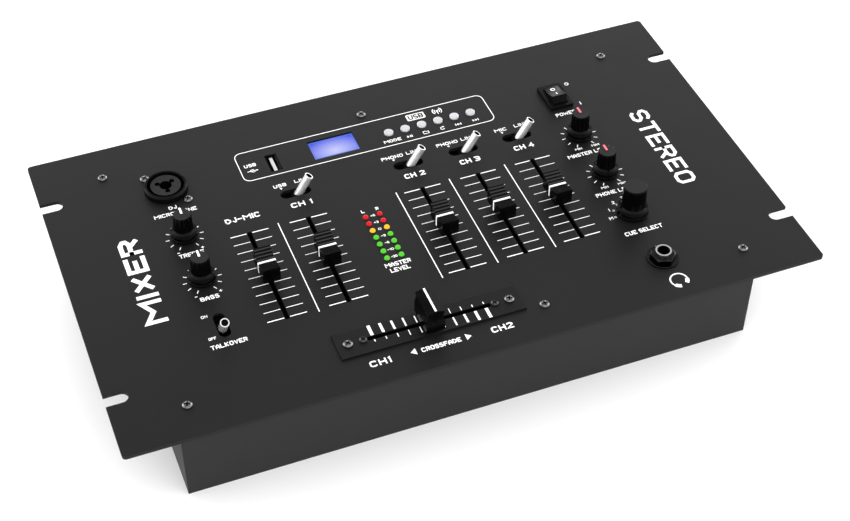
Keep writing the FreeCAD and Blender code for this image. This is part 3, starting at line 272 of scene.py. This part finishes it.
def in_screw_cross(center, normal):
    """True for the floor and walls of the cross recess in a head on the panel or the plate."""
    for seat, limit in ((DECK, DECK + 1.2), (PLATE, PLATE + 1.4)):
        height = center.z - seat
        if normal.z > 0.99 and abs(height - SCREW_RECESS) < 0.05:
            return True
        if abs(normal.z) < 0.1 and SCREW_RECESS < height and center.z < limit:
            return seat == PLATE or center.z < PLATE + 0.2
    return False


def paint_recess_shade():
    """Painted shade: the insides of slots, the USB port, screw crosses and lever tips get a
    near-black look.
    """
    paint_faces("fader_frames", lambda center, normal: normal.z > -0.5)
    paint_faces("toggle_bodies", lambda center, normal: center.z > DECK - 4)
    for name in COLUMNS:
        paint_faces(f"{name}_fader_carriage", lambda center, normal: center.z < DECK + 2.5)
    paint_faces("crossfader_carriage", lambda center, normal: center.z < DECK + 2.5)
    paint_faces("usb_socket", lambda center, normal: not (
        (abs(center.x - USB.x) < 2.4 and normal.z > 0.9 and center.z < DECK - 0.5)
        or (center.x > USB.x + 2 and normal.x < -0.9)))
    paint_faces("m3_screws", in_screw_cross)
    levers = {name: Vector((math.sin(LEVER_LEAN), 0, math.cos(LEVER_LEAN)))
              for name in COLUMNS[1:]}
    levers["talkover"] = Vector((0, -math.sin(LEVER_LEAN), math.cos(LEVER_LEAN)))
    for name, axis in levers.items():
        corners = frame["nodes"][f"{name}_lever"].data.vertices
        reach = max((corner.co / MM).dot(axis) for corner in corners)
        paint_faces(f"{name}_lever", lambda center, normal: (
            center.z < DECK - 0.5 or reach - LEVER_DISH - 0.1 < center.dot(axis) < reach - 0.1))


def matt_knob_tops_painted_light():
    """The flat tops of the knobs are duller than their glossy flanks, and get a lighter base colour
    as painted light.
    """
    for name in ("treble", "bass", "master", "phones", "cue"):
        level = top(f"{name}_knob")
        paint_faces(f"{name}_knob", lambda center, normal: (
            normal.z > 0.95 and center.z > level - 0.6), MATT_FACE_PAINTED_LIGHT)


def paint_light_on_cap_slopes():
    """Painted light: the slopes and ridges of a channel cap that face forwards and up get a lighter
    colour than the rest.
    """
    for name in COLUMNS:
        paint_faces(f"{name}_fader_cap", lambda center, normal: (
            normal.y < -0.1 and normal.z > 0.5), CAP_SLOPE_PAINTED_LIGHT)


def matt_socket_face_painted_light():
    """The face of the microphone insert is duller than the shell around it, and gets a lighter base
    colour as painted light.
    """
    level = top("mic_socket_insert")
    paint_faces("mic_socket_insert", lambda center, normal: (
        normal.z > 0.95 and center.z > level - 0.6), MATT_FACE_PAINTED_LIGHT)


# ---- flat print: every mark is a thin closed strip on the panel ----------------------------------

INK = 0.05
LAYER = 0.008


def strip(points, width, closed=False):
    """Corners of a strip along points, as pairs to the left and right, mitred at each turn."""
    count = len(points)
    pairs = []
    for i, here in enumerate(points):
        here = Vector(here)
        before = Vector(points[i - 1]) if i > 0 or closed else None
        after = Vector(points[(i + 1) % count]) if i < count - 1 or closed else None
        into = (here - before).normalized() if before is not None else None
        out = (after - here).normalized() if after is not None else None
        along = (into + out) if into is not None and out is not None else (into or out)
        if along.length < 1e-6:
            along = out
        along.normalize()
        side = Vector((-along.y, along.x))
        lean = abs(side.dot(Vector((-out.y, out.x)))) if out is not None else 1.0
        reach = width / 2 / max(lean, 0.5)
        pairs.append((here + side * reach, here - side * reach))
    return pairs


def print_piece(name, strokes, level, look="print_white", material=None, body="root", bend=None):
    """One piece of print from (points, width, closed) in millimetres; no width is a filled shape.

    Crossing strokes differ a little in height, so that no two faces share a plane. Bend, if given,
    carries each corner from the flat onto the surface that it is printed on."""
    vertices = []
    faces = []
    for i, (points, width, closed) in enumerate(strokes):
        start = len(vertices)
        surface = level + INK + LAYER * (i % 5)
        if width is None:
            count = len(points)
            for height in (level, surface):
                vertices += [(x * MM, y * MM, height * MM) for x, y in points]
            faces.append(tuple(range(start + count - 1, start - 1, -1)))
            faces.append(tuple(range(start + count, start + 2 * count)))
            for k in range(count):
                after = (k + 1) % count
                faces.append((start + k, start + after, start + count + after, start + count + k))
            continue
        pairs = strip(points, width, closed)
        for pair in pairs:
            for corner in pair:
                vertices.append((corner.x * MM, corner.y * MM, level * MM))
                vertices.append((corner.x * MM, corner.y * MM, surface * MM))
        count = len(pairs)
        for k in range(count if closed else count - 1):
            a = start + 4 * k
            b = start + 4 * ((k + 1) % count)
            faces += [(a + 1, a + 3, b + 3, b + 1), (a, b, b + 2, a + 2),
                      (a, a + 1, b + 1, b), (a + 2, b + 2, b + 3, a + 3)]
        if not closed:
            last = start + 4 * (count - 1)
            faces += [(start, start + 2, start + 3, start + 1),
                      (last, last + 1, last + 3, last + 2)]
    if bend:
        vertices = [tuple(part * MM for part in bend(x / MM, y / MM, z / MM))
                    for x, y, z in vertices]
    mesh = bpy.data.meshes.new(name)
    mesh.from_pydata(vertices, [], faces)
    piece = bpy.data.objects.new(name, mesh)
    bpy.context.scene.collection.objects.link(piece)
    mesh.materials.append(material or LOOKS[look])
    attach(piece, body)
    return piece


def arc(x, y, radius, start, end, steps):
    """Points on an arc, with angles in degrees from +X."""
    turns = [math.radians(start + (end - start) * i / steps) for i in range(steps + 1)]
    return [(x + radius * math.cos(t), y + radius * math.sin(t)) for t in turns]


# Letters on a grid four wide and six high. Each stroke is a run of x-y digit pairs.
GLYPHS = {
    "A": "00 04 26 44 40/02 42", "B": "00 06 36 45 44 33 42 41 30 00/03 33",
    "C": "41 30 10 01 05 16 36 45", "D": "00 06 26 44 42 20 00", "E": "40 00 06 46/03 33",
    "F": "00 06 46/03 33", "H": "00 06/40 46/03 43",
    "I": "00 06", "J": "02 11 20 31 36", "K": "00 06/46 03 40", "L": "06 00 40",
    "M": "00 06 33 66 60", "N": "00 06 40 46", "O": "10 30 41 45 36 16 05 01",
    "P": "00 06 36 45 44 33 03", "R": "00 06 36 45 44 33 03/23 40",
    "S": "01 10 30 41 42 33 13 04 05 16 36 45", "T": "20 26/06 46", "U": "06 01 10 30 41 46",
    "V": "06 20 46", "W": "06 10 34 50 66", "X": "00 46/06 40",
    "0": "10 30 41 45 36 16 05 01", "1": "05 16 10", "2": "05 16 36 45 44 00 40",
    "3": "06 36 45 44 33 42 41 30 00/13 33", "4": "30 36 02 42",
    "6": "36 16 05 01 10 30 41 42 33 03", "-": "03 33", "+": "03 43/25 21",
}
CLOSED_GLYPHS = "O0"


def words(text, x, y, height, stroke, width=None, turn=0.0, gap=2.0):
    """Strokes of a line of text centred on x, y; width is its whole length, strokes included."""
    unit = (height - stroke * 0.4) / 6
    runs = []
    advance = 0.0
    for letter in text:
        if letter == " ":
            advance += 3.0
            continue
        widest = 0
        for run in GLYPHS[letter].split("/"):
            pairs = [(int(pair[0]), int(pair[1])) for pair in run.split()]
            widest = max(widest, max(pair[0] for pair in pairs))
            runs.append((letter in CLOSED_GLYPHS, [(advance + a, b) for a, b in pairs]))
        advance += widest + gap
    total = advance - gap
    across_unit = (width - stroke) / total if width and total else unit
    cosine, sine = math.cos(math.radians(turn)), math.sin(math.radians(turn))
    strokes = []
    for closed, run in runs:
        placed = []
        for across, up in run:
            placed.append(((across - total / 2) * across_unit, (up - 3) * unit))
        if not closed:
            placed = square_ends(placed, stroke)
        placed = [(x + dx * cosine - dy * sine, y + dx * sine + dy * cosine) for dx, dy in placed]
        strokes.append((placed, stroke, closed))
    return strokes


def square_ends(run, stroke):
    """Lengthen upright and level strokes by half their width, so that corners meet squarely."""
    ends = []
    for here, other in ((run[0], run[1]), (run[-1], run[-2])):
        way = (Vector(here) - Vector(other)).normalized()
        level = min(abs(way.x), abs(way.y)) < 0.01
        ends.append(tuple(Vector(here) + way * (stroke / 2 if level else 0)))
    return [ends[0]] + run[1:-1] + [ends[1]]


TICKS = 11
TICK_SPAN = 62.7        # from the first tick to the last
TICK_HALF = 10.05       # from the slot's middle to a tick's outer end
SLOT_CLEAR = 1.5        # from the slot's middle to a tick's inner end


def fader_scales():
    """Eleven ticks across each channel slot, the two end ones heavier."""
    strokes = []
    for x in COLUMN_X.values():
        for i in range(TICKS):
            y = FADER_Y + TICK_SPAN * (0.5 - i / (TICKS - 1))
            width = 0.5 if i in (0, TICKS - 1) else 0.34
            for side in (-1, 1):
                inner, outer = x + side * SLOT_CLEAR, x + side * TICK_HALF
                strokes.append(([(inner, y), (outer, y)], width, False))
    print_piece("fader_scales", strokes, DECK)


def separators():
    """The long lines between the channel columns."""
    low, high = FADER_Y - 33.4, FADER_Y + 33.3
    lines = (COLUMN_X["mic"] + COLUMN_X["ch1"]) / 2, COLUMN_X["ch2"] - 14.1
    lines += (COLUMN_X["ch2"] + COLUMN_X["ch3"]) / 2, (COLUMN_X["ch3"] + COLUMN_X["ch4"]) / 2 + 0.2
    strokes = [([(x, low), (x, high)], 0.5, False) for x in lines]
    print_piece("separators", strokes, DECK)


TICK_RING = (7.9, 9.9)
CUE_DOTS = 9.6
CUE_MARKS = 12


def around(at, radius, degrees):
    """A point on a ring about a control, with the angle from +X."""
    turn = math.radians(degrees)
    return at.x + radius * math.cos(turn), at.y + radius * math.sin(turn)


def knob_scales():
    """Ticks on a ring about each continuous control, and open circles about the selector."""
    strokes = []
    for name in ("treble", "bass", "master", "phones"):
        at = middle(f"{name}_knob")
        for step in range(-5, 6):
            reach = [around(at, radius, 90 - 30 * step) for radius in TICK_RING]
            strokes.append((reach, 0.42, False))
    at = middle("cue_knob")
    for mark, degrees in zip("M1234", (180, 150, 120, 90, 60)):
        strokes.append((arc(*around(at, CUE_DOTS, degrees), 0.5, 0, 330, 11), 0.2, True))
        strokes += words(mark, *around(at, CUE_MARKS, degrees), 1.8, 0.42)
    print_piece("knob_scales", strokes, DECK)


def player_outline():
    """The round-cornered line about the player strip."""
    x0, x1 = -75.1, 67.4
    y0, y1 = DISPLAY.y - 11.2, DISPLAY.y + 11.6
    r = 3.6
    points = arc(x1 - r, y1 - r, r, 90, 0, 6) + arc(x1 - r, y0 + r, r, 0, -90, 6)
    points += arc(x0 + r, y0 + r, r, 270, 180, 6) + arc(x0 + r, y1 - r, r, 180, 90, 6)
    print_piece("player_outline", [(points, 0.42, True)], DECK)


def channel_labels():
    """Names over the faders and beside the source levers."""
    strokes = words("DJ-MIC", COLUMN_X["mic"], FADER_Y + 43.4, 3.2, 0.72, 18.5)
    for i, name in enumerate(COLUMNS[1:], start=1):
        strokes += words(f"CH {i}", COLUMN_X[name] + 0.2, FADER_Y + 43, 3.1, 0.72, 11.4)
    left = {"ch1": ("USB", 6.9, 6.3), "ch2": ("PHONO", 12.1, 6.3), "ch3": ("PHONO", 12.1, 6.3),
            "ch4": ("MIC", 6.9, 6.3)}
    for name, (text, width, away) in left.items():
        x = COLUMN_X[name]
        strokes += words(text, x - away, FADER_Y + 60, 2.1, 0.42, width)
        strokes += words("LINE", x + 5.9, FADER_Y + 60.3, 2.1, 0.42, 8.2)
        strokes.append(([(x - 7.0, FADER_Y + 58), (x - 6.3, FADER_Y + 56.7),
                         (x - 5.6, FADER_Y + 58)], None, True))
    print_piece("channel_labels", strokes, DECK)


TALKOVER_SLOT_Y = -42.0


def side_labels():
    """Labels of the rotary controls, sockets and switches."""
    treble, bass = middle("treble_knob"), middle("bass_knob")
    mic = middle("mic_socket_insert") - Vector((0.2, 1.1, 0))
    strokes = words("DJ", mic.x - 0.3, mic.y - 13.7, 2.2, 0.46, 4.2)
    strokes += words("MICROPHONE", mic.x, mic.y - 18.1, 2.3, 0.46, 22.5)
    for at, text, width in ((treble, "TREBLE", 13.0), (bass, "BASS", 9.6)):
        strokes += words(text, at.x, at.y - 13.4, 2.4, 0.5, width)
        strokes += words("+", at.x + 6.4, at.y - 10.6, 2.0, 0.36)
        strokes += words("-", at.x - 6.1, at.y - 10.6, 2.0, 0.4)
    for name, text, width in (("master", "MASTER LEVEL", 26.2), ("phones", "PHONE LEVEL", 24)):
        at = middle(f"{name}_knob")
        strokes += words(text, at.x, at.y - 14.6, 2.3, 0.47, width)
        strokes += words("MIN", at.x - 4.9, at.y - 10.1, 1.4, 0.28, 4.0)
        strokes += words("MAX", at.x + 5.0, at.y - 10.2, 1.4, 0.28, 4.6)
    cue = middle("cue_knob")
    strokes += words("CUE SELECT", cue.x - 0.2, cue.y - 13.5, 2.4, 0.48, 20.9)
    power = middle("power_switch_frame")
    strokes += words("POWER", power.x + 0.2, power.y - 14.1, 2.3, 0.46, 11.8)
    strokes += words("I", power.x + 11.3, power.y - 8.9, 2.0, 0.5)
    strokes.append((arc(power.x + 11, power.y + 9, 1.0, 0, 330, 11), 0.38, True))
    talk = Vector((middle("talkover_lever").x, TALKOVER_SLOT_Y))
    strokes += words("ON", talk.x - 6.6, talk.y + 8, 1.5, 0.3, 3.2)
    strokes += words("OFF", talk.x - 6.8, talk.y - 7.2, 1.5, 0.3, 3.8)
    strokes += words("TALKOVER", talk.x - 0.1, talk.y - 13, 2.4, 0.48, 18.2)
    print_piece("side_labels", strokes, DECK)


def player_labels():
    """Text and symbols in the player strip."""
    y = middle("mode_button").y - 6.9
    x = {name: middle(f"{name}_button").x for name in BUTTONS}
    strokes = words("MODE", x["mode"] - 0.2, y, 2.0, 0.42, 9.8)
    strokes += words("USB", USB.x - 12.4, USB.y + 2, 2.2, 0.44, 6.4)
    left, line = USB.x - 15.1, USB.y - 2.5
    strokes += [([(left, line), (left + 5.5, line)], 0.36, False),
                ([(left + 1.3, line), (left + 2.3, line + 1), (left + 3.8, line + 1)], 0.3, False),
                ([(left + 1.8, line), (left + 2.8, line - 1), (left + 4.2, line - 1)], 0.3, False)]
    strokes += arrow_mark(left + 5.1, line, 0.6, 1)
    strokes += arrow_mark(x["play"] - 1.3, y, 0.9, 1)
    strokes += [([(x["play"] + a, y - 0.85), (x["play"] + a, y + 0.85)], 0.44, False)
                for a in (0.6, 1.5)]
    folder = [(-1.5, -1), (1.5, -1), (1.5, 0.6), (0.2, 0.6), (-0.3, 1), (-1.5, 1)]
    strokes.append(([(x["folder"] + a, y + b) for a, b in folder], 0.34, True))
    strokes.append((arc(x["repeat"], y, 1.05, 60, 340, 9), 0.36, False))
    strokes += arrow_mark(x["repeat"] + 0.4, y + 1.0, 0.6, 1)
    for name, way in (("previous", -1), ("next", 1)):
        strokes += arrow_mark(x[name] - way * 1.4, y, 0.85, way)
        strokes += arrow_mark(x[name] + way * 0.1, y, 0.85, way)
        bar = x[name] + way * 1.8
        strokes.append(([(bar, y - 0.85), (bar, y + 0.85)], 0.4, False))
    box_x, box_y = x["folder"] - 0.7, middle("mode_button").y + 7.5
    corner = 0.7
    frame_points = []
    for across, up, start in ((1, 1, 0), (-1, 1, 90), (-1, -1, 180), (1, -1, 270)):
        frame_points += arc(box_x + across * (5.2 - corner), box_y + up * (2.5 - corner), corner,
                            start, start + 90, 4)
    strokes.append((frame_points, None, True))
    wave_x, wave_y = x["repeat"] + 2.4, box_y + 0.2
    for reach in (1.5, 2.6):
        strokes.append((arc(wave_x, wave_y, reach, 130, 230, 6), 0.44, False))
        strokes.append((arc(wave_x, wave_y, reach, -50, 50, 6), 0.44, False))
    strokes.append((arc(wave_x, wave_y, 0.4, 0, 315, 7), 0.5, True))
    strokes.append(([(wave_x, wave_y - 0.4), (wave_x, wave_y - 2.6)], 0.44, False))
    print_piece("player_labels", strokes, DECK)
    print_piece("player_box_word", words("USB", box_x, box_y, 3.3, 0.75, 8.6),
                DECK + INK + 4 * LAYER, "panel_paint")


def arrow_mark(x, y, size, way):
    """A small filled triangle that points along X."""
    corners = [(x, y - way * size), (x + way * 1.4 * size, y), (x, y + way * size)]
    return [(corners, None, True)]


METER_MARKS = ("+6", "+3", "0", "-3", "-6", "-10", "-20")


def meter_labels():
    """Letters over the lamp columns, levels between them and the name below."""
    y = middle("meter_leds").y + 21
    strokes = words("L", METER.x - 3.9, y - 0.6, 1.9, 0.46)
    strokes += words("R", METER.x + 3.8, y - 0.9, 1.9, 0.46)
    strokes += words("MASTER", METER.x, y - 42.1, 2.5, 0.48, 13.6)
    strokes += words("LEVEL", METER.x - 0.2, y - 46.1, 2.5, 0.48, 10.4)
    for i, mark in enumerate(METER_MARKS):
        level = y - 5.1 - METER_PITCH * i
        strokes += words(mark, METER.x, level, 1.35, 0.28, 0.7 + 0.9 * len(mark))
    print_piece("meter_labels", strokes, DECK)


LONG_BARS = (4.6, 5.4, 5.6, 6.1, 6.5)
SHORT_BARS = (3.9, 3.3, 2.4, 1.6, 1.4)
BAR_PITCH = 5.76


def crossfader_print():
    """Bars beside the crossfader slot: long above it on the left, long below it on the right."""
    x, y = CROSS.x, CROSS.y
    strokes = []
    for i, (long_bar, short_bar) in enumerate(zip(LONG_BARS, SHORT_BARS), start=1):
        for side in (-1, 1):
            at = x + side * BAR_PITCH * i
            for up, bar, width in ((-side, long_bar, 0.35 + 0.25 * i), (side, short_bar, 0.45)):
                near = y + up * 1.5
                strokes.append(([(at, near), (at, near + up * bar)], width, False))
    print_piece("crossfader_scale", strokes, PLATE)
    below = y - 15.2
    strokes = words("CH1", x - 30.8, below, 3.3, 0.76, 10.6)
    strokes += words("CH2", x + 31.6, below, 3.3, 0.76, 11.2)
    strokes += words("CROSSFADE", x + 0.1, below, 2.4, 0.56, 20.2)
    strokes += arrow_mark(x - 12.6, below + 0.3, 2, -1) + arrow_mark(x + 12.9, below + 0.3, 2, 1)
    print_piece("crossfader_labels", strokes, DECK)


def headphone_mark():
    """A headband with two ear pads."""
    at = middle("headphone_washer")
    x, y = at.x + 0.5, at.y - 17
    strokes = [(arc(x, y, 4.4, -20, 245, 20), 0.72, False),
               (arc(x, y, 4.1, -45, -5, 4), 2.0, False),
               (arc(x, y, 4.1, 218, 262, 4), 2.0, False)]
    print_piece("headphone_mark", strokes, DECK)


def side_words():
    """Large generic words where a maker would put a name."""
    print_piece("word_left", words("MIXER", -144, 0.8, 9.7, 2.4, 61.5, turn=90), DECK)
    print_piece("word_right", words("STEREO", 142, 0, 9.5, 1.8, 62, turn=-90), DECK)


# ---- moving pointers ----------------------------------------------------------------------------

def box_piece(name, low, high, material, body, soften=0.3):
    """A thin inlay whose edges are softened by a share of its smallest side."""
    mesh = bpy.data.meshes.new(name)
    shape = bmesh.new()
    bmesh.ops.create_cube(shape, size=1)
    for vertex in shape.verts:
        for axis in range(3):
            vertex.co[axis] = (low[axis] if vertex.co[axis] < 0 else high[axis]) * MM
    size = min(high[axis] - low[axis] for axis in range(3)) * MM
    bmesh.ops.bevel(shape, geom=shape.edges[:], offset=size * soften, segments=2, affect="EDGES")
    shape.to_mesh(mesh)
    shape.free()
    piece = bpy.data.objects.new(name, mesh)
    bpy.context.scene.collection.objects.link(piece)
    mesh.materials.append(material)
    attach(piece, body)
    return piece


RAISED = 0.15           # how far a cap's white line stands out of it


def fader_pointers():
    """White line across each cap's lowest crease and down its flanks."""
    white = LOOKS["print_white"]
    for name in COLUMNS:
        low, high = (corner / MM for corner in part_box(f"{name}_fader_cap"))
        x, y = (low.x + high.x) / 2, (low.y + high.y) / 2
        crease = high.z - 2.4
        half = (high.x - low.x) / 2 + RAISED
        body = f"{name}_fader"
        box_piece(f"{name}_cap_line", (x - half, y - 0.6, crease - 0.3),
                  (x + half, y + 0.6, crease + 0.35), white, body)
        for side in (-1, 1):
            inner, outer = sorted((x + side * (half - 0.5), x + side * half))
            box_piece(f"{name}_cap_line_{'left' if side < 0 else 'right'}",
                      (inner, y - 0.6, low.z + 0.2), (outer, y + 0.6, crease), white, body)
    low, high = (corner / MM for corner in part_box("crossfader_cap"))
    x, y = (low.x + high.x) / 2, (low.y + high.y) / 2
    box_piece("crossfader_cap_line", (x - 0.65, low.y + 0.2, high.z - 0.4),
              (x + 0.65, high.y - 0.2, high.z + RAISED), white, "crossfader")


def knob_pointers():
    """A raised line on each continuous control's top, from the rear rim inwards."""
    colours = {"treble": LOOKS["print_white"], "bass": LOOKS["print_white"],
               "master": POINTER_RED, "phones": POINTER_RED}
    for name, material in colours.items():
        low, high = (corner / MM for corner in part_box(f"{name}_knob"))
        x, y = (low.x + high.x) / 2, (low.y + high.y) / 2
        box_piece(f"{name}_pointer", (x - 0.55, y + 0.4, high.z - 0.9),
                  (x + 0.55, y + 4.75, high.z + 0.45), material, f"{name}_control",
                  0.15)


ROCKER_PIVOT = Vector((middle("power_rocker").x, 56.6, DECK + 0.3))
ROCKER_TILT = math.radians(16)
ROCKER_RISE = 4.4       # from the pivot to the top's two ends
ROCKER_HALF = 6.1       # half the top's length
ROCKER_DISH = 34        # radius of the dish in the top


def rocker_marks():
    """A ring and a bar on the rocker's dished top."""
    floor = ROCKER_RISE - ROCKER_HALF ** 2 / 2 / ROCKER_DISH
    cosine, sine = math.cos(ROCKER_TILT), math.sin(ROCKER_TILT)

    def onto_rocker(x, y, z):
        up = floor + y * y / 2 / ROCKER_DISH + z
        return (ROCKER_PIVOT.x + x, ROCKER_PIVOT.y + y * cosine + up * sine,
                ROCKER_PIVOT.z - y * sine + up * cosine)

    strokes = [(arc(0, 3.1, 1.1, 0, 330, 11), 0.5, True),
               ([(0, -1.2), (0, -2.3), (0, -3.6)], 0.55, False)]
    print_piece("rocker_marks", strokes, 0, body="rocker", bend=onto_rocker)


# ---- lamps and display --------------------------------------------------------------------------

METER_COLOURS = ("led_red", "led_red", "led_yellow") + ("led_green",) * 4
METER_PITCH = 5.3
METER_HALF = 3.85       # from the meter's middle line to a lamp's middle
LAMP_RADIUS = 1.5
LAMP_FLANGE = 1.9
LAMP_DOME = 1.2


def turned(name, profile, x, y, material, body, steps=24):
    """A closed solid turned about an upright axis from (radius, height) pairs."""
    vertices = []
    faces = []
    rings = []
    for radius, height in profile:
        if radius == 0:
            rings.append([len(vertices)])
            vertices.append((x * MM, y * MM, height * MM))
            continue
        ring = []
        for i in range(steps):
            turn = 2 * math.pi * i / steps
            ring.append(len(vertices))
            vertices.append(((x + radius * math.cos(turn)) * MM,
                             (y + radius * math.sin(turn)) * MM, height * MM))
        rings.append(ring)
    for lower, upper in zip(rings, rings[1:]):
        for i in range(steps):
            j = (i + 1) % steps
            if len(lower) == 1:
                faces.append((lower[0], upper[j], upper[i]))
            elif len(upper) == 1:
                faces.append((lower[i], lower[j], upper[0]))
            else:
                faces.append((lower[i], lower[j], upper[j], upper[i]))
    mesh = bpy.data.meshes.new(name)
    mesh.from_pydata(vertices, [], faces)
    mesh.shade_smooth()
    mesh.set_sharp_from_angle(angle=math.radians(40))
    piece = bpy.data.objects.new(name, mesh)
    bpy.context.scene.collection.objects.link(piece)
    mesh.materials.append(material)
    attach(piece, body)
    return piece


def meter_lamps():
    """Fourteen tinted lamps in place of the plain ones."""
    low, high = (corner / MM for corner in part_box("meter_leds"))
    foot, shoulder, rise = low.z + 6, low.z + 7, high.z - LAMP_DOME
    profile = [(0, foot), (LAMP_FLANGE, foot), (LAMP_FLANGE, shoulder), (LAMP_RADIUS, shoulder)]
    profile += [(LAMP_RADIUS * math.cos(t), rise + LAMP_DOME * math.sin(t))
                for t in (math.pi / 2 * k / 6 for k in range(6))]
    profile.append((0, high.z))
    first = None
    for row, look in enumerate(METER_COLOURS):
        y = high.y - LAMP_FLANGE - METER_PITCH * row
        for side, letter in ((-1, "l"), (1, "r")):
            x = (low.x + high.x) / 2 + side * METER_HALF
            lamp = turned(f"meter_lamp_{letter}{row + 1}", profile, x, y, LOOKS[look], "root")
            first = first or lamp
    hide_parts("meter_leds")


def display_glow_look():
    """Blue backlight, brighter towards the lower middle."""
    look = Look("display_glow", (0.005, 0.008, 0.03), 0.3, Specular_IOR_Level=0.1)
    mapping = look.nodes.new("ShaderNodeMapping")
    mapping.vector_type = "TEXTURE"
    mapping.inputs["Location"].default_value = (DISPLAY.x * MM, (DISPLAY.y - 3.5) * MM, DECK * MM)
    mapping.inputs["Scale"].default_value = (0.0175, 0.0115, 0.02)
    look.links.new(look.space, mapping.inputs["Vector"])
    ball = look.nodes.new("ShaderNodeTexGradient")
    ball.gradient_type = "SPHERICAL"
    look.links.new(mapping.outputs["Vector"], ball.inputs["Vector"])
    glow = look.ramp(ball.outputs["Fac"], (0.045, 0.08, 0.78), (0.62, 0.65, 1.0), 0.0, 1.0)
    look.drive("Emission Color", glow)
    look.shader.inputs["Emission Strength"].default_value = 0.95
    look.bump(look.noise(2500, 1), 0.03, 0.00001)
    return look.material


def display_pieces():
    """A lit film over the window, with a paler line near its rim."""
    low, high = (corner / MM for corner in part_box("display_module"))
    x, y = (low.x + high.x) / 2 + 0.15, (low.y + high.y) / 2 - 0.2
    half_x, half_y = 12.6, 7.1
    level = high.z
    box_piece("display_film", (x - half_x, y - half_y, level - 0.3),
              (x + half_x, y + half_y, level + 0.1), display_glow_look(), "root")
    rim = [(x + a * (half_x - 0.7), y + b * (half_y - 0.7))
           for a, b in ((1, 1), (-1, 1), (-1, -1), (1, -1))]
    print_piece("display_rim", [(rim, 0.3, True)], level + 0.1, "display_lens",
                lamp_lens("display_line", (0.12, 0.32, 0.95), 0.5))


# ---- scene --------------------------------------------------------------------------------------

def soft_light(name, position, size, power, target=(0, 0, 0.05)):
    light = bpy.data.lights.new(name, "AREA")
    light.shape = "RECTANGLE"
    light.size, light.size_y = size
    light.energy = power
    holder = bpy.data.objects.new(name, light)
    holder.location = position
    aim = Vector(target) - Vector(position)
    holder.rotation_euler = aim.to_track_quat("-Z", "Y").to_euler()
    bpy.context.scene.collection.objects.link(holder)


SKY_RAMP = ((0.35, 1.0), (0.7, 0.2))    # bright at the horizon, dim overhead
SKY_STRENGTH = 3.7


def stage():
    """A pale floor and even studio light."""
    mesh = bpy.data.meshes.new("floor")
    reach = 6
    corners = [(-reach, -reach, 0), (reach, -reach, 0), (reach, reach, 0), (-reach, reach, 0)]
    mesh.from_pydata(corners, [], [(0, 1, 2, 3)])
    floor = bpy.data.objects.new("floor", mesh)
    bpy.context.scene.collection.objects.link(floor)
    mesh.materials.append(Look("floor_paint", (0.9, 0.9, 0.9), 0.8).material)

    world = bpy.data.worlds.new("studio")
    bpy.context.scene.world = world
    world.use_nodes = True
    nodes = world.node_tree.nodes
    links = world.node_tree.links
    place = nodes.new("ShaderNodeTexCoord")
    split = nodes.new("ShaderNodeSeparateXYZ")
    links.new(place.outputs["Generated"], split.inputs["Vector"])
    ramp = nodes.new("ShaderNodeValToRGB")
    for element, (position, shade) in zip(ramp.color_ramp.elements, SKY_RAMP):
        element.position = position
        element.color = (shade, shade, shade, 1)
    links.new(split.outputs["Z"], ramp.inputs["Fac"])
    links.new(ramp.outputs["Color"], nodes["Background"].inputs["Color"])
    nodes["Background"].inputs["Strength"].default_value = SKY_STRENGTH
    soft_light("key", (0.0, -0.4, 2.0), (2.2, 2.2), 14)
    soft_light("fill", (1.4, -1.0, 1.2), (1.2, 1.2), 2)
    bpy.context.scene.view_settings.view_transform = "Standard"


CAMERA_PLACE = (-0.2243, -0.5893, 0.6491)
CAMERA_TURN = math.radians(-20.499)
CAMERA_DROP = math.radians(45.54)
CAMERA_ROLL = math.radians(-0.311)


def camera():
    data = bpy.data.cameras.new("camera")
    data.sensor_width = 36
    data.lens = 70.957
    data.shift_x = 0.0205
    data.shift_y = 0.0235
    data.clip_start = 0.01
    holder = bpy.data.objects.new("camera", data)
    turn = Matrix.Rotation(CAMERA_TURN, 4, "Z") @ Matrix.Rotation(math.pi / 2 - CAMERA_DROP, 4, "X")
    turn = turn @ Matrix.Rotation(CAMERA_ROLL, 4, "Z")
    holder.matrix_world = Matrix.Translation(CAMERA_PLACE) @ turn
    bpy.context.scene.collection.objects.link(holder)
    bpy.context.scene.camera = holder


dress_parts()
paint_recess_shade()
matt_knob_tops_painted_light()
paint_light_on_cap_slopes()
matt_socket_face_painted_light()
fader_scales()
separators()
knob_scales()
player_outline()
channel_labels()
side_labels()
player_labels()
meter_labels()
crossfader_print()
headphone_mark()
side_words()
fader_pointers()
knob_pointers()
rocker_marks()
meter_lamps()
display_pieces()
stage()
camera()
